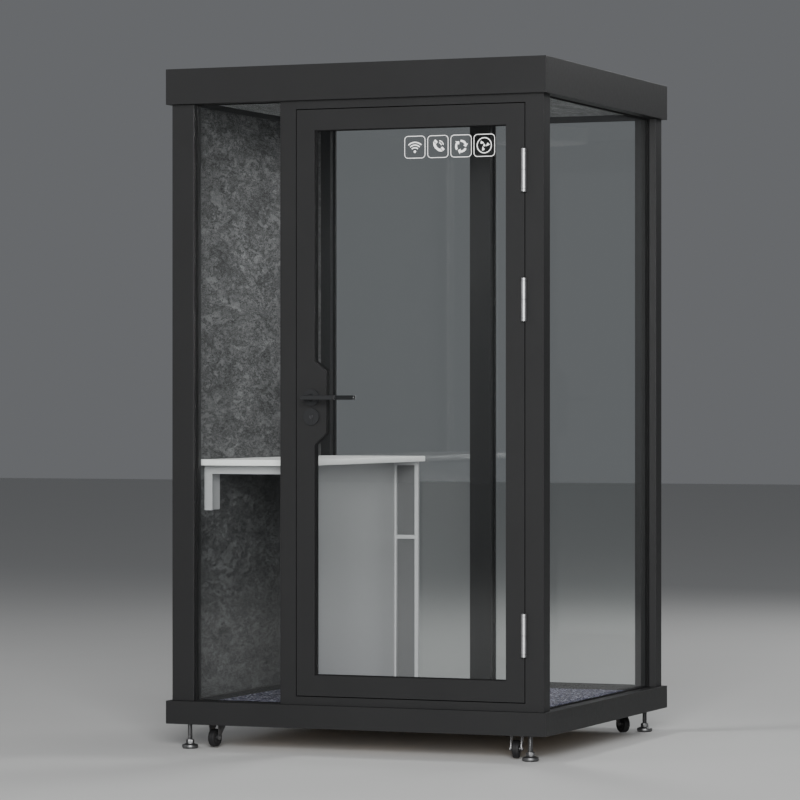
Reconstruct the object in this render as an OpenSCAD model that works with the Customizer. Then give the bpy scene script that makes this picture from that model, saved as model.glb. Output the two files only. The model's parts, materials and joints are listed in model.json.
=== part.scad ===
/* [Booth] */
// Width of the base and the roof, left to right
booth_w = 1370; // [1200:10:1800]
// Depth of the base and the roof, front to back
booth_d = 1280; // [1100:10:1600]
// Clear height between the base and the roof
clear_h = 2022; // [1900:2:2200]
// Height of the base box
base_h = 78; // [74:1:110]
// Height of the roof box
roof_h = 120; // [110:1:180]
// Height of the base above the ground
foot_h = 85; // [80:1:90]

/* [Frame] */
// Width of a corner post, seen from the front
post_w = 80; // [72:1:110]
// Depth of a corner post
post_d = 60; // [56:1:80]
// Step from the side of the base to the post
post_inset_x = 15; // [5:1:30]
// Step from the front of the base to the post
post_inset_y = 20; // [5:1:30]
// Width of the rails that make the base and roof boxes
rail_w = 60; // [56:1:80]
// Thickness of the tube walls
tube_wall = 3; // [2:0.5:4]
// Height of the bar above the door
head_h = 28; // [20:1:60]
// Height of the bar below the door
sill_h = 27; // [20:1:60]

/* [Door] */
// Width of the door opening
door_open_w = 818; // [700:1:860]
// Width of the post face beside the hinges
post_face_w = 64; // [58:1:80]
// Width of the mullion face beside the lock
mullion_face_w = 57; // [50:1:80]
// Width of the stop behind the door's edge
rebate_w = 16; // [12:1:20]
// Thickness of the door leaf
leaf_t = 34; // [32:1:40]
// Gap between the door leaf and the frame
door_gap = 3; // [3:0.5:5]
// Width of the door's upright stiles
stile_w = 65; // [60:1:90]
// Height of the door's top and bottom rails
door_rail_h = 69; // [50:1:100]
// Gap between the leaf and the stop, which the seal fills
seal_gap = 3; // [2:0.5:5]

/* [Glass] */
// Thickness of the glass
glass_t = 10; // [8:1:12]
// Rubber on each side of the glass
seal_t = 2; // [1.5:0.5:3]
// Depth of the grooves that hold the glass
groove_d = 12; // [8:1:14]
// Front and back glass, set back from the post face
glass_set_y = 26; // [22:1:30]
// Side glass, set back from the post side
glass_set_x = 34; // [22:1:40]

/* [Lock and hinges] */
// Height of the lever above the ground
lever_h = 1191; // [1000:1:1300]
// Lever axis to the edge of the door
backset = 55; // [52:1:56]
// Lever axis down to the key cylinder
cylinder_drop = 64; // [60:1:92]
// How far the lever stands out from the door
lever_reach = 76; // [45:1:90]
// Length of the lever past its axis
lever_l = 112; // [90:1:200]
// Height of the lever bar
lever_bar = 15; // [12:1:22]
// Diameter of the round roses
rose_d = 56; // [50:1:62]
// Width of the lock block past the stile
block_w = 42; // [36:1:60]
// Throw of the dead bolt
bolt_throw = 20; // [14:1:20]
// Length of a hinge barrel
hinge_l = 144; // [100:1:160]
// Diameter of a hinge barrel
hinge_d = 20; // [16:1:24]

/* [Wall, floor and ceiling] */
// Thickness of the steel skin of the left wall
skin_t = 2; // [1:0.5:3]
// Thickness of the wool in the left wall
core_t = 28; // [20:1:40]
// Thickness of the felt on the left wall
felt_t = 12; // [8:1:16]
// Carpet surface below the top of the base
floor_drop = 16; // [10:1:30]
// Thickness of the carpet
carpet_t = 6; // [4:1:10]
// Thickness of the floor board
board_t = 18; // [12:1:22]
// Ceiling surface above the underside of the roof
ceiling_rise = 17; // [10:1:30]
// Thickness of the ceiling panel
ceiling_t = 12; // [8:1:20]
// Diameter of the round lamp
lamp_d = 344; // [250:2:400]
// Height of the round lamp
lamp_h = 53; // [30:1:70]

/* [Desk] */
// Height of the desk top above the ground
desk_h = 980; // [800:5:1100]
// Thickness of the desk top
desk_t = 20; // [16:1:30]
// Depth of the desk from the left wall
desk_w = 401; // [300:1:450]
// Length of the desk along the left wall
desk_l = 1108; // [900:1:1110]

/* [Feet and casters] */
// Foot axis from the side of the base
foot_inset_x = 70; // [66:1:100]
// Foot axis from the front or back of the base
foot_inset_y = 45; // [40:1:45]
// Diameter of a foot pad
pad_d = 55; // [45:1:65]
// Caster axis from the side of the base
caster_inset_x = 145; // [142:1:200]
// Caster axis from the front or back of the base
caster_inset_y = 130; // [125:1:180]
// Diameter of a caster wheel
wheel_d = 60; // [50:1:62]
// Clearance below the wheels when the feet carry the booth
wheel_lift = 5; // [3:1:8]

/* [Hidden] */
$fn = 64;

frame_color = "#343536";
edge_color = "#2b2c2d";
steel_color = "#b5b7b9";
glass_color = [0.75, 0.85, 0.88, 0.25];
desk_color = "#dcdcda";

run = 0.05;         // radial clearance of a turning fit
slide = 0.3;        // clearance round a sliding bolt, and between still and moving faces
cut = 1;            // how far a cut runs past a face

// The lever stands out past the base, so the booth sits back to keep the origin in the middle.
y_shift = max(0, lever_reach - post_inset_y) / 2;
x0 = -booth_w / 2;
x1 = booth_w / 2;
y0 = -booth_d / 2 + y_shift;
y1 = booth_d / 2 + y_shift;
z_base = foot_h;
z_floor = z_base + base_h;
z_roof = z_floor + clear_h;
z_top = z_roof + roof_h;

post_x0 = x0 + post_inset_x;
post_x1 = x1 - post_inset_x;
face_y = y0 + post_inset_y;
back_y = y1 - post_inset_y;
in_y0 = face_y + post_d;      // inner side of the front posts
in_y1 = back_y - post_d;      // inner side of the back posts
ring_x = x1 - rail_w;         // inner side of the side rails
ring_y0 = y0 + rail_w;
ring_y1 = y1 - rail_w;

door_x1 = post_x1 - post_face_w;
door_x0 = door_x1 - door_open_w;
mullion_x0 = door_x0 - mullion_face_w;
mullion_x1 = door_x0 + rebate_w;
door_z0 = z_floor + sill_h;
door_z1 = z_roof - head_h;
stop_y = face_y + leaf_t + seal_gap;
leaf_x0 = door_x0 + door_gap;
leaf_x1 = door_x1 - door_gap;
leaf_z0 = door_z0 + door_gap;
leaf_z1 = door_z1 - door_gap;
leaf_y1 = face_y + leaf_t;
leaf_mid = face_y + leaf_t / 2;

groove_w = glass_t + 2 * seal_t;
bite = groove_d - seal_t;     // how far the glass reaches into its groove
web = groove_d + tube_wall;   // wall left behind a groove
front_glass_y = face_y + glass_set_y;
back_glass_y = back_y - glass_set_y;
right_glass_x = post_x1 - glass_set_x;
back_mullion_w = post_w;

// lock
lever_x = leaf_x0 + backset;
key_z = lever_h - cylinder_drop;
block_x1 = leaf_x0 + stile_w + block_w;
block_z0 = lever_h - 157;
block_z1 = lever_h - 118;
block_z2 = lever_h + 89;
block_z3 = lever_h + 121;
case_t = 16;
case_wall = 2;
case_x1 = block_x1 - 16;
case_z0 = key_z - 40;
case_z1 = lever_h + 50;
plate_t = 3;                  // face plate of the lock
plate_w = 20;
plate_over = 22;              // face plate past the case, above and below
latch_out = door_gap - 0.5;
latch_h = 16;
latch_tail = 20;
bolt_h = 22;
bolt_w = 10;
bolt_tail = 34;
key_r = 8.5;                  // round part of the cylinder
key_web = 10;                 // narrow part of the cylinder
key_h = 33;
plug_r = 6.5;
cam_r = 15;
cam_w = 8;
cam_gap = 10;
rose_t = 7;
neck_r = 9;
spindle = 8;

// hinges
hinge_x = (leaf_x1 + door_x1) / 2;
hinge_y = face_y - hinge_d / 2 - slide;
hinge_z = [leaf_z0 + 220, leaf_z1 - 643, leaf_z1 - 220];
pin_r = 5;
leaf_plate = 1.2;
leaf_plate_w = 28;

// glass in the door
pane_x0 = leaf_x0 + stile_w;
pane_x1 = leaf_x1 - stile_w;
pane_z0 = leaf_z0 + door_rail_h;
pane_z1 = leaf_z1 - door_rail_h;

// wall
wall_x = post_x0 + skin_t;
core_x = wall_x + skin_t;
felt_x = core_x + core_t;
room_x0 = felt_x + felt_t;

// floor and ceiling
carpet_z = z_floor - floor_drop;
board_z0 = carpet_z - carpet_t - board_t;
ceiling_z = z_roof + ceiling_rise;
cover_t = 3;
cover_lap = 10;
lamp_x = 36;
lamp_y = 68 + y_shift;
lamp_rim = 4;
fan_x = 380;
fan_y = 300 + y_shift;
fan_size = 160;
fan_h = 45;
fan_r = 74;
fan_hub_r = 24;
fan_hub_h = 22;
fan_shaft_r = 2.5;
fan_blades = 7;
slot_count = 9;
slot_w = 7;
slot_pitch = 15;

// desk
desk_x1 = room_x0 + desk_w;
desk_y1 = back_glass_y - glass_t / 2 - 3;
desk_y0 = desk_y1 - desk_l;
desk_z0 = desk_h - desk_t;
bracket_t = 4;
bracket_w = 30;
bracket_drop = 125;
bracket_set = 65;             // back from the desk's front edge
bracket_flange = 118;         // depth of the leg's flange on the wall
panel_t = 18;
panel_x1 = desk_x1 - 112;
panel_y0 = desk_y1 - 740;
panel_y1 = min(desk_y1, ring_y1);
end_inset = 20;               // end frame back from the desk's edge
end_tube = 14;
end_depth = 14;
end_h = 283;
infill_t = 5;

// switch and inlet
switch_w = 56;
switch_h = 100;
switch_t = 14;
switch_z = lever_h + 40;
rocker_w = 20;
rocker_h = 34;
rocker_t = 8;
rocker_tilt = 6;
rocker_pin_r = 1.5;
inlet_x = -480;
inlet_w = 60;
inlet_h = 36;
inlet_l = 34;

// feet and casters
foot_x = x1 - foot_inset_x;
foot_y0 = y0 + foot_inset_y;
foot_y1 = y1 - foot_inset_y;
pad_h = 17;
stem_r = 8;
stem_in = 38;
foot_nut = 28;
foot_nut_h = 13;
boss_r = 14;
boss_h = 45;
caster_x = x1 - caster_inset_x;
caster_y0 = y0 + caster_inset_y;
caster_y1 = y1 - caster_inset_y;
gusset_t = 6;
gusset_w = caster_inset_x - rail_w + 60;
gusset_d = caster_inset_y - rail_w + 60;
caster_stem_r = 5.5;
caster_boss_h = 26;
trail = 38;
wheel_w = 24;
axle_r = 4;
fork_t = 3;
fork_gap = 4;                 // between the wheel and each side of its fork
crown_r = 24;
crown_t = 6;
wheel_z = wheel_lift + wheel_d / 2;
// each caster's heading at rest, in degrees from the right
head_front_left = 264;
head_front_right = 282;
head_back_left = 205;
head_back_right = 322;

// A box between two corners.
module block(low, high) {
    translate(low) cube(high - low);
}

// A cylinder along Y, from y_a to y_b.
module rod_y(x, z, r, y_a, y_b) {
    translate([x, y_a, z]) rotate([-90, 0, 0]) cylinder(r = r, h = y_b - y_a);
}

// A flat shape drawn in X and Z, from y_a to y_b.
module plate_y(y_a, y_b) {
    translate([0, y_b, 0]) rotate([90, 0, 0]) linear_extrude(height = y_b - y_a) children();
}

// A box ring of hollow rails.
module rail_ring(low_z, high_z) {
    difference() {
        block([x0, y0, low_z], [x1, y1, high_z]);
        block([-ring_x, ring_y0, low_z - cut], [ring_x, ring_y1, high_z + cut]);
        difference() {
            block([x0 + tube_wall, y0 + tube_wall, low_z + tube_wall],
                  [x1 - tube_wall, y1 - tube_wall, high_z - tube_wall]);
            block([-ring_x - tube_wall, ring_y0 - tube_wall, low_z],
                  [ring_x + tube_wall, ring_y1 + tube_wall, high_z]);
        }
    }
}

// Where each fixed pane stands: low and high corners in plan, without what reaches into the grooves.
panes_front = [[post_x0 + post_w, front_glass_y], [mullion_x0, front_glass_y]];
panes_right = [[right_glass_x, in_y0], [right_glass_x, in_y1]];
panes_back = [[[post_x0 + post_w, back_glass_y], [-back_mullion_w / 2, back_glass_y]],
              [[back_mullion_w / 2, back_glass_y], [post_x1 - post_w, back_glass_y]]];
all_panes = concat([panes_front, panes_right], panes_back);

// The space of a pane: thick across it, grown past its visible edges by grow.
module pane_space(pane, thick, grow) {
    along_x = pane[1][0] > pane[0][0];
    dx = along_x ? grow : thick / 2;
    dy = along_x ? thick / 2 : grow;
    block([pane[0][0] - dx, pane[0][1] - dy, z_floor - grow],
          [pane[1][0] + dx, pane[1][1] + dy, z_roof + grow]);
}

module pane_grooves() {
    for (pane = all_panes) pane_space(pane, groove_w, groove_d);
}

// Inner channels that the grooves of the base and the roof are cut into.
module groove_backing(low_z, high_z) {
    intersection() {
        for (pane = all_panes) pane_space(pane, groove_w + 2 * tube_wall, web);
        block([x0 + cut, y0 + cut, low_z + tube_wall], [x1 - cut, y1 - cut, high_z - tube_wall]);
    }
}

module at_corners(x, y_a, y_b) {
    for (sx = [-1, 1]) for (y = [y_a, y_b]) translate([sx * x, y, 0]) children();
}

module base_frame() {
    color(frame_color) difference() {
        union() {
            rail_ring(z_base, z_floor);
            groove_backing(z_base, z_floor);
            at_corners(foot_x, foot_y0, foot_y1)
                translate([0, 0, z_base + tube_wall / 2]) cylinder(r = boss_r, h = boss_h);
            for (sx = [-1, 1])
                block([sx * ring_x / 3 - rail_w / 3, ring_y0, z_base],
                      [sx * ring_x / 3 + rail_w / 3, ring_y1, board_z0]);
            for (sx = [-1, 1]) for (y = [ring_y0, ring_y1 - gusset_d])
                block([sx > 0 ? ring_x - gusset_w : -ring_x, y, z_base],
                      [sx > 0 ? ring_x : -ring_x + gusset_w, y + gusset_d, z_base + gusset_t]);
            at_corners(caster_x, caster_y0, caster_y1)
                translate([0, 0, z_base]) cylinder(r = boss_r, h = caster_boss_h);
        }
        pane_grooves();
        for (sx = [-1, 1])
            block([sx * ring_x / 3 - rail_w / 3 + tube_wall, ring_y0 - cut, z_base + tube_wall],
                  [sx * ring_x / 3 + rail_w / 3 - tube_wall, ring_y1 + cut, board_z0 - tube_wall]);
        at_corners(foot_x, foot_y0, foot_y1)
            translate([0, 0, z_base - cut]) cylinder(r = stem_r + run, h = boss_h + 2 * cut + tube_wall);
        at_corners(caster_x, caster_y0, caster_y1)
            translate([0, 0, z_base - cut]) cylinder(r = caster_stem_r + run, h = caster_boss_h + 2 * cut);
        block([inlet_x - inlet_w / 2, y1 - inlet_l, z_base + base_h / 2 - inlet_h / 2],
              [inlet_x + inlet_w / 2, y1 + cut, z_base + base_h / 2 + inlet_h / 2]);
    }
}

module floor_board() {
    color("#a58a63") block([-ring_x, ring_y0, board_z0], [ring_x, ring_y1, board_z0 + board_t]);
}

module carpet() {
    color("#62627e") block([-ring_x, ring_y0, carpet_z - carpet_t], [ring_x, ring_y1, carpet_z]);
}

module roof_frame() {
    color(frame_color) difference() {
        union() {
            rail_ring(z_roof, z_top);
            groove_backing(z_roof, z_top);
            for (sy = [ring_y0, ring_y1 - cover_lap])
                block([-ring_x, sy, z_top - 2 * cover_t], [ring_x, sy + cover_lap, z_top - cover_t]);
        }
        pane_grooves();
    }
}

// Rows of air slots round the fan's axis.
module air_slots(low_z, high_z) {
    for (i = [0 : slot_count - 1]) {
        y = fan_y + (i - (slot_count - 1) / 2) * slot_pitch;
        half = sqrt(pow(fan_r, 2) - pow(y - fan_y, 2)) - slot_w / 2;
        block([fan_x - half, y - slot_w / 2, low_z], [fan_x + half, y + slot_w / 2, high_z]);
    }
}

module roof_cover() {
    color(edge_color) difference() {
        block([-ring_x, ring_y0, z_top - cover_t], [ring_x, ring_y1, z_top]);
        air_slots(z_top - cover_t - cut, z_top + cut);
    }
}

module ceiling_panel() {
    color("#5d5e60") difference() {
        block([-ring_x, ring_y0, ceiling_z], [ring_x, ring_y1, ceiling_z + ceiling_t]);
        air_slots(ceiling_z - cut, ceiling_z + ceiling_t + cut);
    }
}

// An upright tube: its outline, and its hollow between two corners.
module upright(low, high, hollow_low, hollow_high) {
    difference() {
        block([low[0], low[1], z_floor], [high[0], high[1], z_roof]);
        block([hollow_low[0], hollow_low[1], z_floor - cut], [hollow_high[0], hollow_high[1], z_roof + cut]);
        pane_grooves();
    }
}

module front_left_post() {
    color(frame_color)
        upright([post_x0, face_y], [post_x0 + post_w, in_y0],
                [post_x0 + tube_wall, face_y + tube_wall], [post_x0 + post_w - web, in_y0 - tube_wall]);
}

module front_right_post() {
    color(frame_color) difference() {
        upright([post_x1 - post_w, face_y], [post_x1, in_y0],
                [door_x1 + tube_wall, face_y + tube_wall], [post_x1 - tube_wall, in_y0 - web]);
        block([post_x1 - post_w - cut, face_y - cut, z_floor - cut], [door_x1, stop_y, z_roof + cut]);
    }
}

module back_posts() {
    color(frame_color) {
        upright([post_x0, in_y1], [post_x0 + post_w, back_y],
                [post_x0 + tube_wall, in_y1 + tube_wall], [post_x0 + post_w - web, back_y - tube_wall]);
        upright([post_x1 - post_w, in_y1], [post_x1, back_y],
                [post_x1 - post_w + web, in_y1 + web], [post_x1 - tube_wall, back_y - tube_wall]);
    }
}

module front_mullion() {
    color(frame_color) difference() {
        upright([mullion_x0, face_y], [mullion_x1, in_y0],
                [mullion_x0 + web, face_y + tube_wall], [door_x0 - tube_wall, in_y0 - tube_wall]);
        block([door_x0, face_y - cut, z_floor - cut], [mullion_x1 + cut, stop_y, z_roof + cut]);
        block([door_x0 - bolt_throw - tube_wall, leaf_mid - bolt_w / 2 - cut, key_z - bolt_h / 2 - cut],
              [door_x0 + cut, leaf_mid + bolt_w / 2 + cut, key_z + bolt_h / 2 + cut]);
        strike_space(0);
    }
}

module back_mullion() {
    color(frame_color)
        upright([-back_mullion_w / 2, in_y1], [back_mullion_w / 2, back_y],
                [-back_mullion_w / 2 + web, in_y1 + tube_wall], [back_mullion_w / 2 - web, back_y - tube_wall]);
}

module door_head() {
    color(frame_color) {
        block([door_x0, face_y, door_z1], [door_x1, stop_y, z_roof]);
        block([mullion_x1, stop_y, door_z1 - rebate_w], [post_x1 - post_w, in_y0, z_roof]);
    }
}

module door_sill() {
    color(frame_color) {
        block([door_x0, face_y, z_floor], [door_x1, stop_y, door_z0]);
        block([mullion_x1, stop_y, z_floor], [post_x1 - post_w, in_y0, door_z0 + rebate_w]);
    }
}

module wall_layer(low_x, thick) {
    block([low_x, in_y0, z_floor], [low_x + thick, in_y1, z_roof]);
}

module wall_skin() {
    color(frame_color) wall_layer(wall_x, skin_t);
}

module wall_core() {
    color("#c9b458") wall_layer(core_x, core_t);
}

module wall_felt() {
    color("#565759") wall_layer(felt_x, felt_t);
}

module front_glass() {
    color(glass_color) pane_space(panes_front, glass_t, bite);
}

module right_glass() {
    color(glass_color) pane_space(panes_right, glass_t, bite);
}

module back_glass() {
    color(glass_color) for (pane = panes_back) pane_space(pane, glass_t, bite);
}

module glazing_seals() {
    color("#151515") for (pane = all_panes) difference() {
        pane_space(pane, groove_w, groove_d);
        pane_space(pane, glass_t, bite);
        pane_space(pane, groove_w + 2 * cut, 0);
    }
}

module door_seal() {
    inset = rebate_w / 4;
    color("#151515") difference() {
        block([door_x0 + inset, leaf_y1 + slide, door_z0 + inset], [door_x1 - inset, stop_y, door_z1 - inset]);
        block([mullion_x1 - inset, leaf_y1, door_z0 + rebate_w - inset],
              [post_x1 - post_w + inset, stop_y + cut, door_z1 - rebate_w + inset]);
    }
}

module lamp_housing() {
    color("#e8e8e6") difference() {
        translate([lamp_x, lamp_y, ceiling_z - lamp_h]) cylinder(d = lamp_d, h = lamp_h, $fn = 96);
        translate([lamp_x, lamp_y, ceiling_z - lamp_h - cut])
            cylinder(d = lamp_d - 2 * lamp_rim, h = lamp_h - lamp_rim + cut, $fn = 96);
    }
}

module lamp_diffuser() {
    color("#fdfdf8") translate([lamp_x, lamp_y, ceiling_z - lamp_h])
        cylinder(d = lamp_d - 2 * lamp_rim, h = lamp_rim, $fn = 96);
}

module fan_housing() {
    z = ceiling_z + ceiling_t;
    color("#1d1d1e") translate([fan_x, fan_y, z]) {
        difference() {
            block([-fan_size / 2, -fan_size / 2, 0], [fan_size / 2, fan_size / 2, fan_h]);
            translate([0, 0, -cut]) cylinder(r = fan_r, h = fan_h + 2 * cut);
        }
        cylinder(r = fan_hub_r, h = 10);
        cylinder(r = fan_shaft_r, h = 10 + fan_hub_h + 4);
        for (a = [0, 120, 240]) rotate([0, 0, a]) block([0, -3, 0], [fan_r + cut, 3, 5]);
    }
}

module fan_impeller() {
    z = ceiling_z + ceiling_t + 12;
    color("#28292b") translate([fan_x, fan_y, z]) difference() {
        union() {
            cylinder(r = fan_hub_r, h = fan_hub_h);
            intersection() {
                for (i = [0 : fan_blades - 1]) rotate([0, 0, i * 360 / fan_blades])
                    translate([0, 0, fan_hub_h / 2]) rotate([35, 0, 0])
                        block([0, -16, -1], [fan_r + cut, 16, 1]);
                cylinder(r = fan_r - 2, h = fan_hub_h);
            }
        }
        translate([0, 0, -cut]) cylinder(r = fan_shaft_r + run, h = fan_hub_h + 2 * cut);
    }
}

module desk_top() {
    color(desk_color) difference() {
        block([room_x0, desk_y0, desk_z0], [desk_x1, desk_y1, desk_h]);
        // notch round the back post
        block([room_x0 - cut, in_y1, desk_z0 - cut], [post_x0 + post_w + slide, desk_y1 + cut, desk_h + cut]);
    }
}

module desk_bracket() {
    y = desk_y0 + bracket_set;
    y_back = y + bracket_flange;
    z_foot = desk_z0 - bracket_w - bracket_drop;
    color("#a9aaab") {
        // arm under the desk, and a leg with two flanges on the wall
        block([room_x0, y, desk_z0 - bracket_w], [desk_x1 - 40, y + bracket_t, desk_z0]);
        block([room_x0, y + bracket_t, desk_z0 - bracket_t], [desk_x1 - 40, y + bracket_w, desk_z0]);
        block([room_x0, y, z_foot], [room_x0 + bracket_w, y + bracket_t, desk_z0 - bracket_w]);
        plate_x(room_x0, room_x0 + bracket_t)
            polygon([[y + bracket_t, desk_z0 - bracket_t], [y + bracket_t, z_foot], [y_back - 4, z_foot],
                     [y_back, z_foot + 4], [y_back, desk_z0 - bracket_t]]);
    }
}

// A flat shape drawn in Y and Z, from x_a to x_b.
module plate_x(x_a, x_b) {
    translate([x_a, 0, 0]) rotate([90, 0, 90]) linear_extrude(height = x_b - x_a) children();
}

module desk_support() {
    y = panel_y1 - end_depth;
    x = desk_x1 - end_inset;
    rail_z = desk_z0 - end_h;
    color("#a3a4a5") {
        block([panel_x1 - panel_t, panel_y0, carpet_z], [panel_x1, panel_y1, desk_z0]);
        // end frame with a rail across and a thin infill at its back
        difference() {
            block([panel_x1, y, carpet_z], [x, panel_y1, desk_z0]);
            block([panel_x1 + end_tube / 2, y - cut, rail_z + end_tube],
                  [x - end_tube, panel_y1 - infill_t, desk_z0 - end_tube]);
            block([panel_x1 + end_tube / 2, y - cut, carpet_z - cut],
                  [x - end_tube, panel_y1 - infill_t, rail_z]);
        }
    }
}

module switch_plate() {
    x = (mullion_x0 + mullion_x1) / 2;
    color("#e2e2e0") difference() {
        block([x - switch_w / 2, in_y0, switch_z - switch_h / 2],
              [x + switch_w / 2, in_y0 + switch_t, switch_z + switch_h / 2]);
        block([x - rocker_w / 2 - slide, in_y0 + 3, switch_z + 4],
              [x + rocker_w / 2 + slide, in_y0 + switch_t + cut, switch_z + 8 + rocker_h]);
        rocker_axis(x, rocker_w + 8, rocker_pin_r + run);
        // two charging sockets
        for (sx = [-1, 1])
            block([x + sx * 12 - 6, in_y0 + 4, switch_z - 26], [x + sx * 12 + 6, in_y0 + switch_t + cut, switch_z - 20]);
    }
}

module rocker_axis(x, length, r) {
    translate([x - length / 2, in_y0 + switch_t - 4, switch_z + 6 + rocker_h / 2])
        rotate([0, 90, 0]) cylinder(r = r, h = length, $fn = 32);
}

module switch_rocker() {
    x = (mullion_x0 + mullion_x1) / 2;
    half = rocker_h / 2 - 1;
    color("#f2f2f0") {
        translate([x, in_y0 + switch_t - 4, switch_z + 6 + rocker_h / 2]) rotate([-rocker_tilt, 0, 0])
            block([-rocker_w / 2, -2.5, -half], [rocker_w / 2, rocker_t - 2.5, half]);
        rocker_axis(x, rocker_w + 6, rocker_pin_r);
    }
}

module power_inlet() {
    z = z_base + base_h / 2;
    color("#1a1a1b") {
        difference() {
            block([inlet_x - inlet_w / 2, y1 - inlet_l, z - inlet_h / 2], [inlet_x + inlet_w / 2, y1, z + inlet_h / 2]);
            block([inlet_x - 13, y1 - 18, z - 9], [inlet_x + 13, y1 + cut, z + 9]);
        }
        for (dx = [-7, 0, 7])
            block([inlet_x + dx - 1, y1 - 19, z + (dx == 0 ? 1 : -4)], [inlet_x + dx + 1, y1 - 4, z + (dx == 0 ? 5 : 0)]);
    }
}

// Lower knuckles, with the pins, and their leaves on the post.
module frame_hinge_leaves() {
    color(steel_color) for (z = hinge_z) {
        translate([hinge_x, hinge_y, z - hinge_l / 2]) cylinder(d = hinge_d, h = hinge_l / 2);
        translate([hinge_x, hinge_y, z]) cylinder(r = pin_r, h = hinge_l / 2 - 12);
        block([door_x1 - leaf_plate, hinge_y + pin_r, z - hinge_l / 2],
              [door_x1, face_y + leaf_plate_w, z]);
    }
}

// Upper knuckles, which lift off the pins, and their leaves on the door.
module door_hinge_leaves() {
    color(steel_color) for (z = hinge_z) difference() {
        union() {
            translate([hinge_x, hinge_y, z + slide]) cylinder(d = hinge_d, h = hinge_l / 2 - slide);
            block([leaf_x1, hinge_y + pin_r, z + slide],
                  [leaf_x1 + leaf_plate, face_y + leaf_plate_w, z + hinge_l / 2]);
        }
        translate([hinge_x, hinge_y, z - cut]) cylinder(r = pin_r + run, h = hinge_l / 2 - 10 + cut);
    }
}

// The strike plate's place on the mullion, grown by grow.
module strike_space(grow) {
    block([door_x0 - 1.5 - grow, leaf_mid - plate_w / 2 - grow, key_z - 40],
          [door_x0 + grow, leaf_mid + plate_w / 2 + grow, lever_h + 40]);
}

module strike_plate() {
    color(steel_color) difference() {
        strike_space(0);
        block([door_x0 - 5, leaf_mid - bolt_w / 2 - cut, key_z - bolt_h / 2 - cut],
              [door_x0 + 5, leaf_mid + bolt_w / 2 + cut, key_z + bolt_h / 2 + cut]);
        block([door_x0 - 5, leaf_mid - bolt_w / 2 - cut, lever_h - latch_h / 2 - cut],
              [door_x0 + 5, leaf_mid + bolt_w / 2 + cut, lever_h + latch_h / 2 + cut]);
    }
}

// Outline of the door glass in X and Z, grown by grow and stepped round the lock block.
function pane_points(grow) = [
    [pane_x0 - grow, pane_z0 - grow], [pane_x1 + grow, pane_z0 - grow],
    [pane_x1 + grow, pane_z1 + grow], [pane_x0 - grow, pane_z1 + grow],
    [pane_x0 - grow, block_z3 - grow], [block_x1 - grow, block_z2 - grow],
    [block_x1 - grow, block_z1 + grow], [pane_x0 - grow, block_z0 + grow]
];

module door_pane(thick, grow) {
    plate_y(leaf_mid - thick / 2, leaf_mid + thick / 2) polygon(pane_points(grow));
}

// The key cylinder's outline through the door, grown by grow.
module key_profile(grow) {
    translate([lever_x, key_z]) {
        circle(r = key_r + grow);
        translate([-key_web / 2 - grow, -key_h + key_r - grow]) square([key_web + 2 * grow, key_h - key_r]);
    }
}

module lock_case_space() {
    block([leaf_x0 + plate_t, leaf_mid - case_t / 2, case_z0], [case_x1, leaf_mid + case_t / 2, case_z1]);
}

module face_plate_space() {
    block([leaf_x0, leaf_mid - plate_w / 2, case_z0 - plate_over],
          [leaf_x0 + plate_t, leaf_mid + plate_w / 2, case_z1 + plate_over]);
}

// Holes for the lever necks and the key cylinder.
module handle_holes() {
    rod_y(lever_x, lever_h, neck_r + run, face_y - cut, leaf_y1 + cut);
    plate_y(face_y - cut, leaf_y1 + cut) key_profile(slide);
}

module lock_stile() {
    color(frame_color) difference() {
        block([leaf_x0, face_y, leaf_z0], [pane_x0, leaf_y1, leaf_z1]);
        block([leaf_x0 + tube_wall, face_y + tube_wall, leaf_z0 + tube_wall],
              [pane_x0 - web, leaf_y1 - tube_wall, leaf_z1 - tube_wall]);
        door_pane(groove_w, groove_d);
        lock_case_space();
        face_plate_space();
        handle_holes();
    }
}

module hinge_stile() {
    color(frame_color) difference() {
        block([pane_x1, face_y, leaf_z0], [leaf_x1, leaf_y1, leaf_z1]);
        block([pane_x1 + web, face_y + tube_wall, leaf_z0 + tube_wall],
              [leaf_x1 - tube_wall, leaf_y1 - tube_wall, leaf_z1 - tube_wall]);
        door_pane(groove_w, groove_d);
    }
}

module door_rails() {
    color(frame_color) difference() {
        for (z = [leaf_z0, pane_z1]) difference() {
            block([pane_x0, face_y, z], [pane_x1, leaf_y1, z + door_rail_h]);
            block([pane_x0 - cut, face_y + tube_wall, z + (z == leaf_z0 ? tube_wall : web)],
                  [pane_x1 + cut, leaf_y1 - tube_wall, z + door_rail_h - (z == leaf_z0 ? web : tube_wall)]);
        }
        door_pane(groove_w, groove_d);
    }
}

module lock_block() {
    color(frame_color) difference() {
        plate_y(face_y, leaf_y1)
            polygon([[pane_x0, block_z0], [block_x1, block_z1], [block_x1, block_z2], [pane_x0, block_z3]]);
        door_pane(groove_w, groove_d);
        lock_case_space();
        handle_holes();
    }
}

module door_glass() {
    color(glass_color) door_pane(glass_t, bite);
}

module door_glass_seal() {
    color("#151515") difference() {
        door_pane(groove_w, groove_d);
        door_pane(glass_t, bite);
        door_pane(groove_w + 2 * cut, 0);
    }
}

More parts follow.
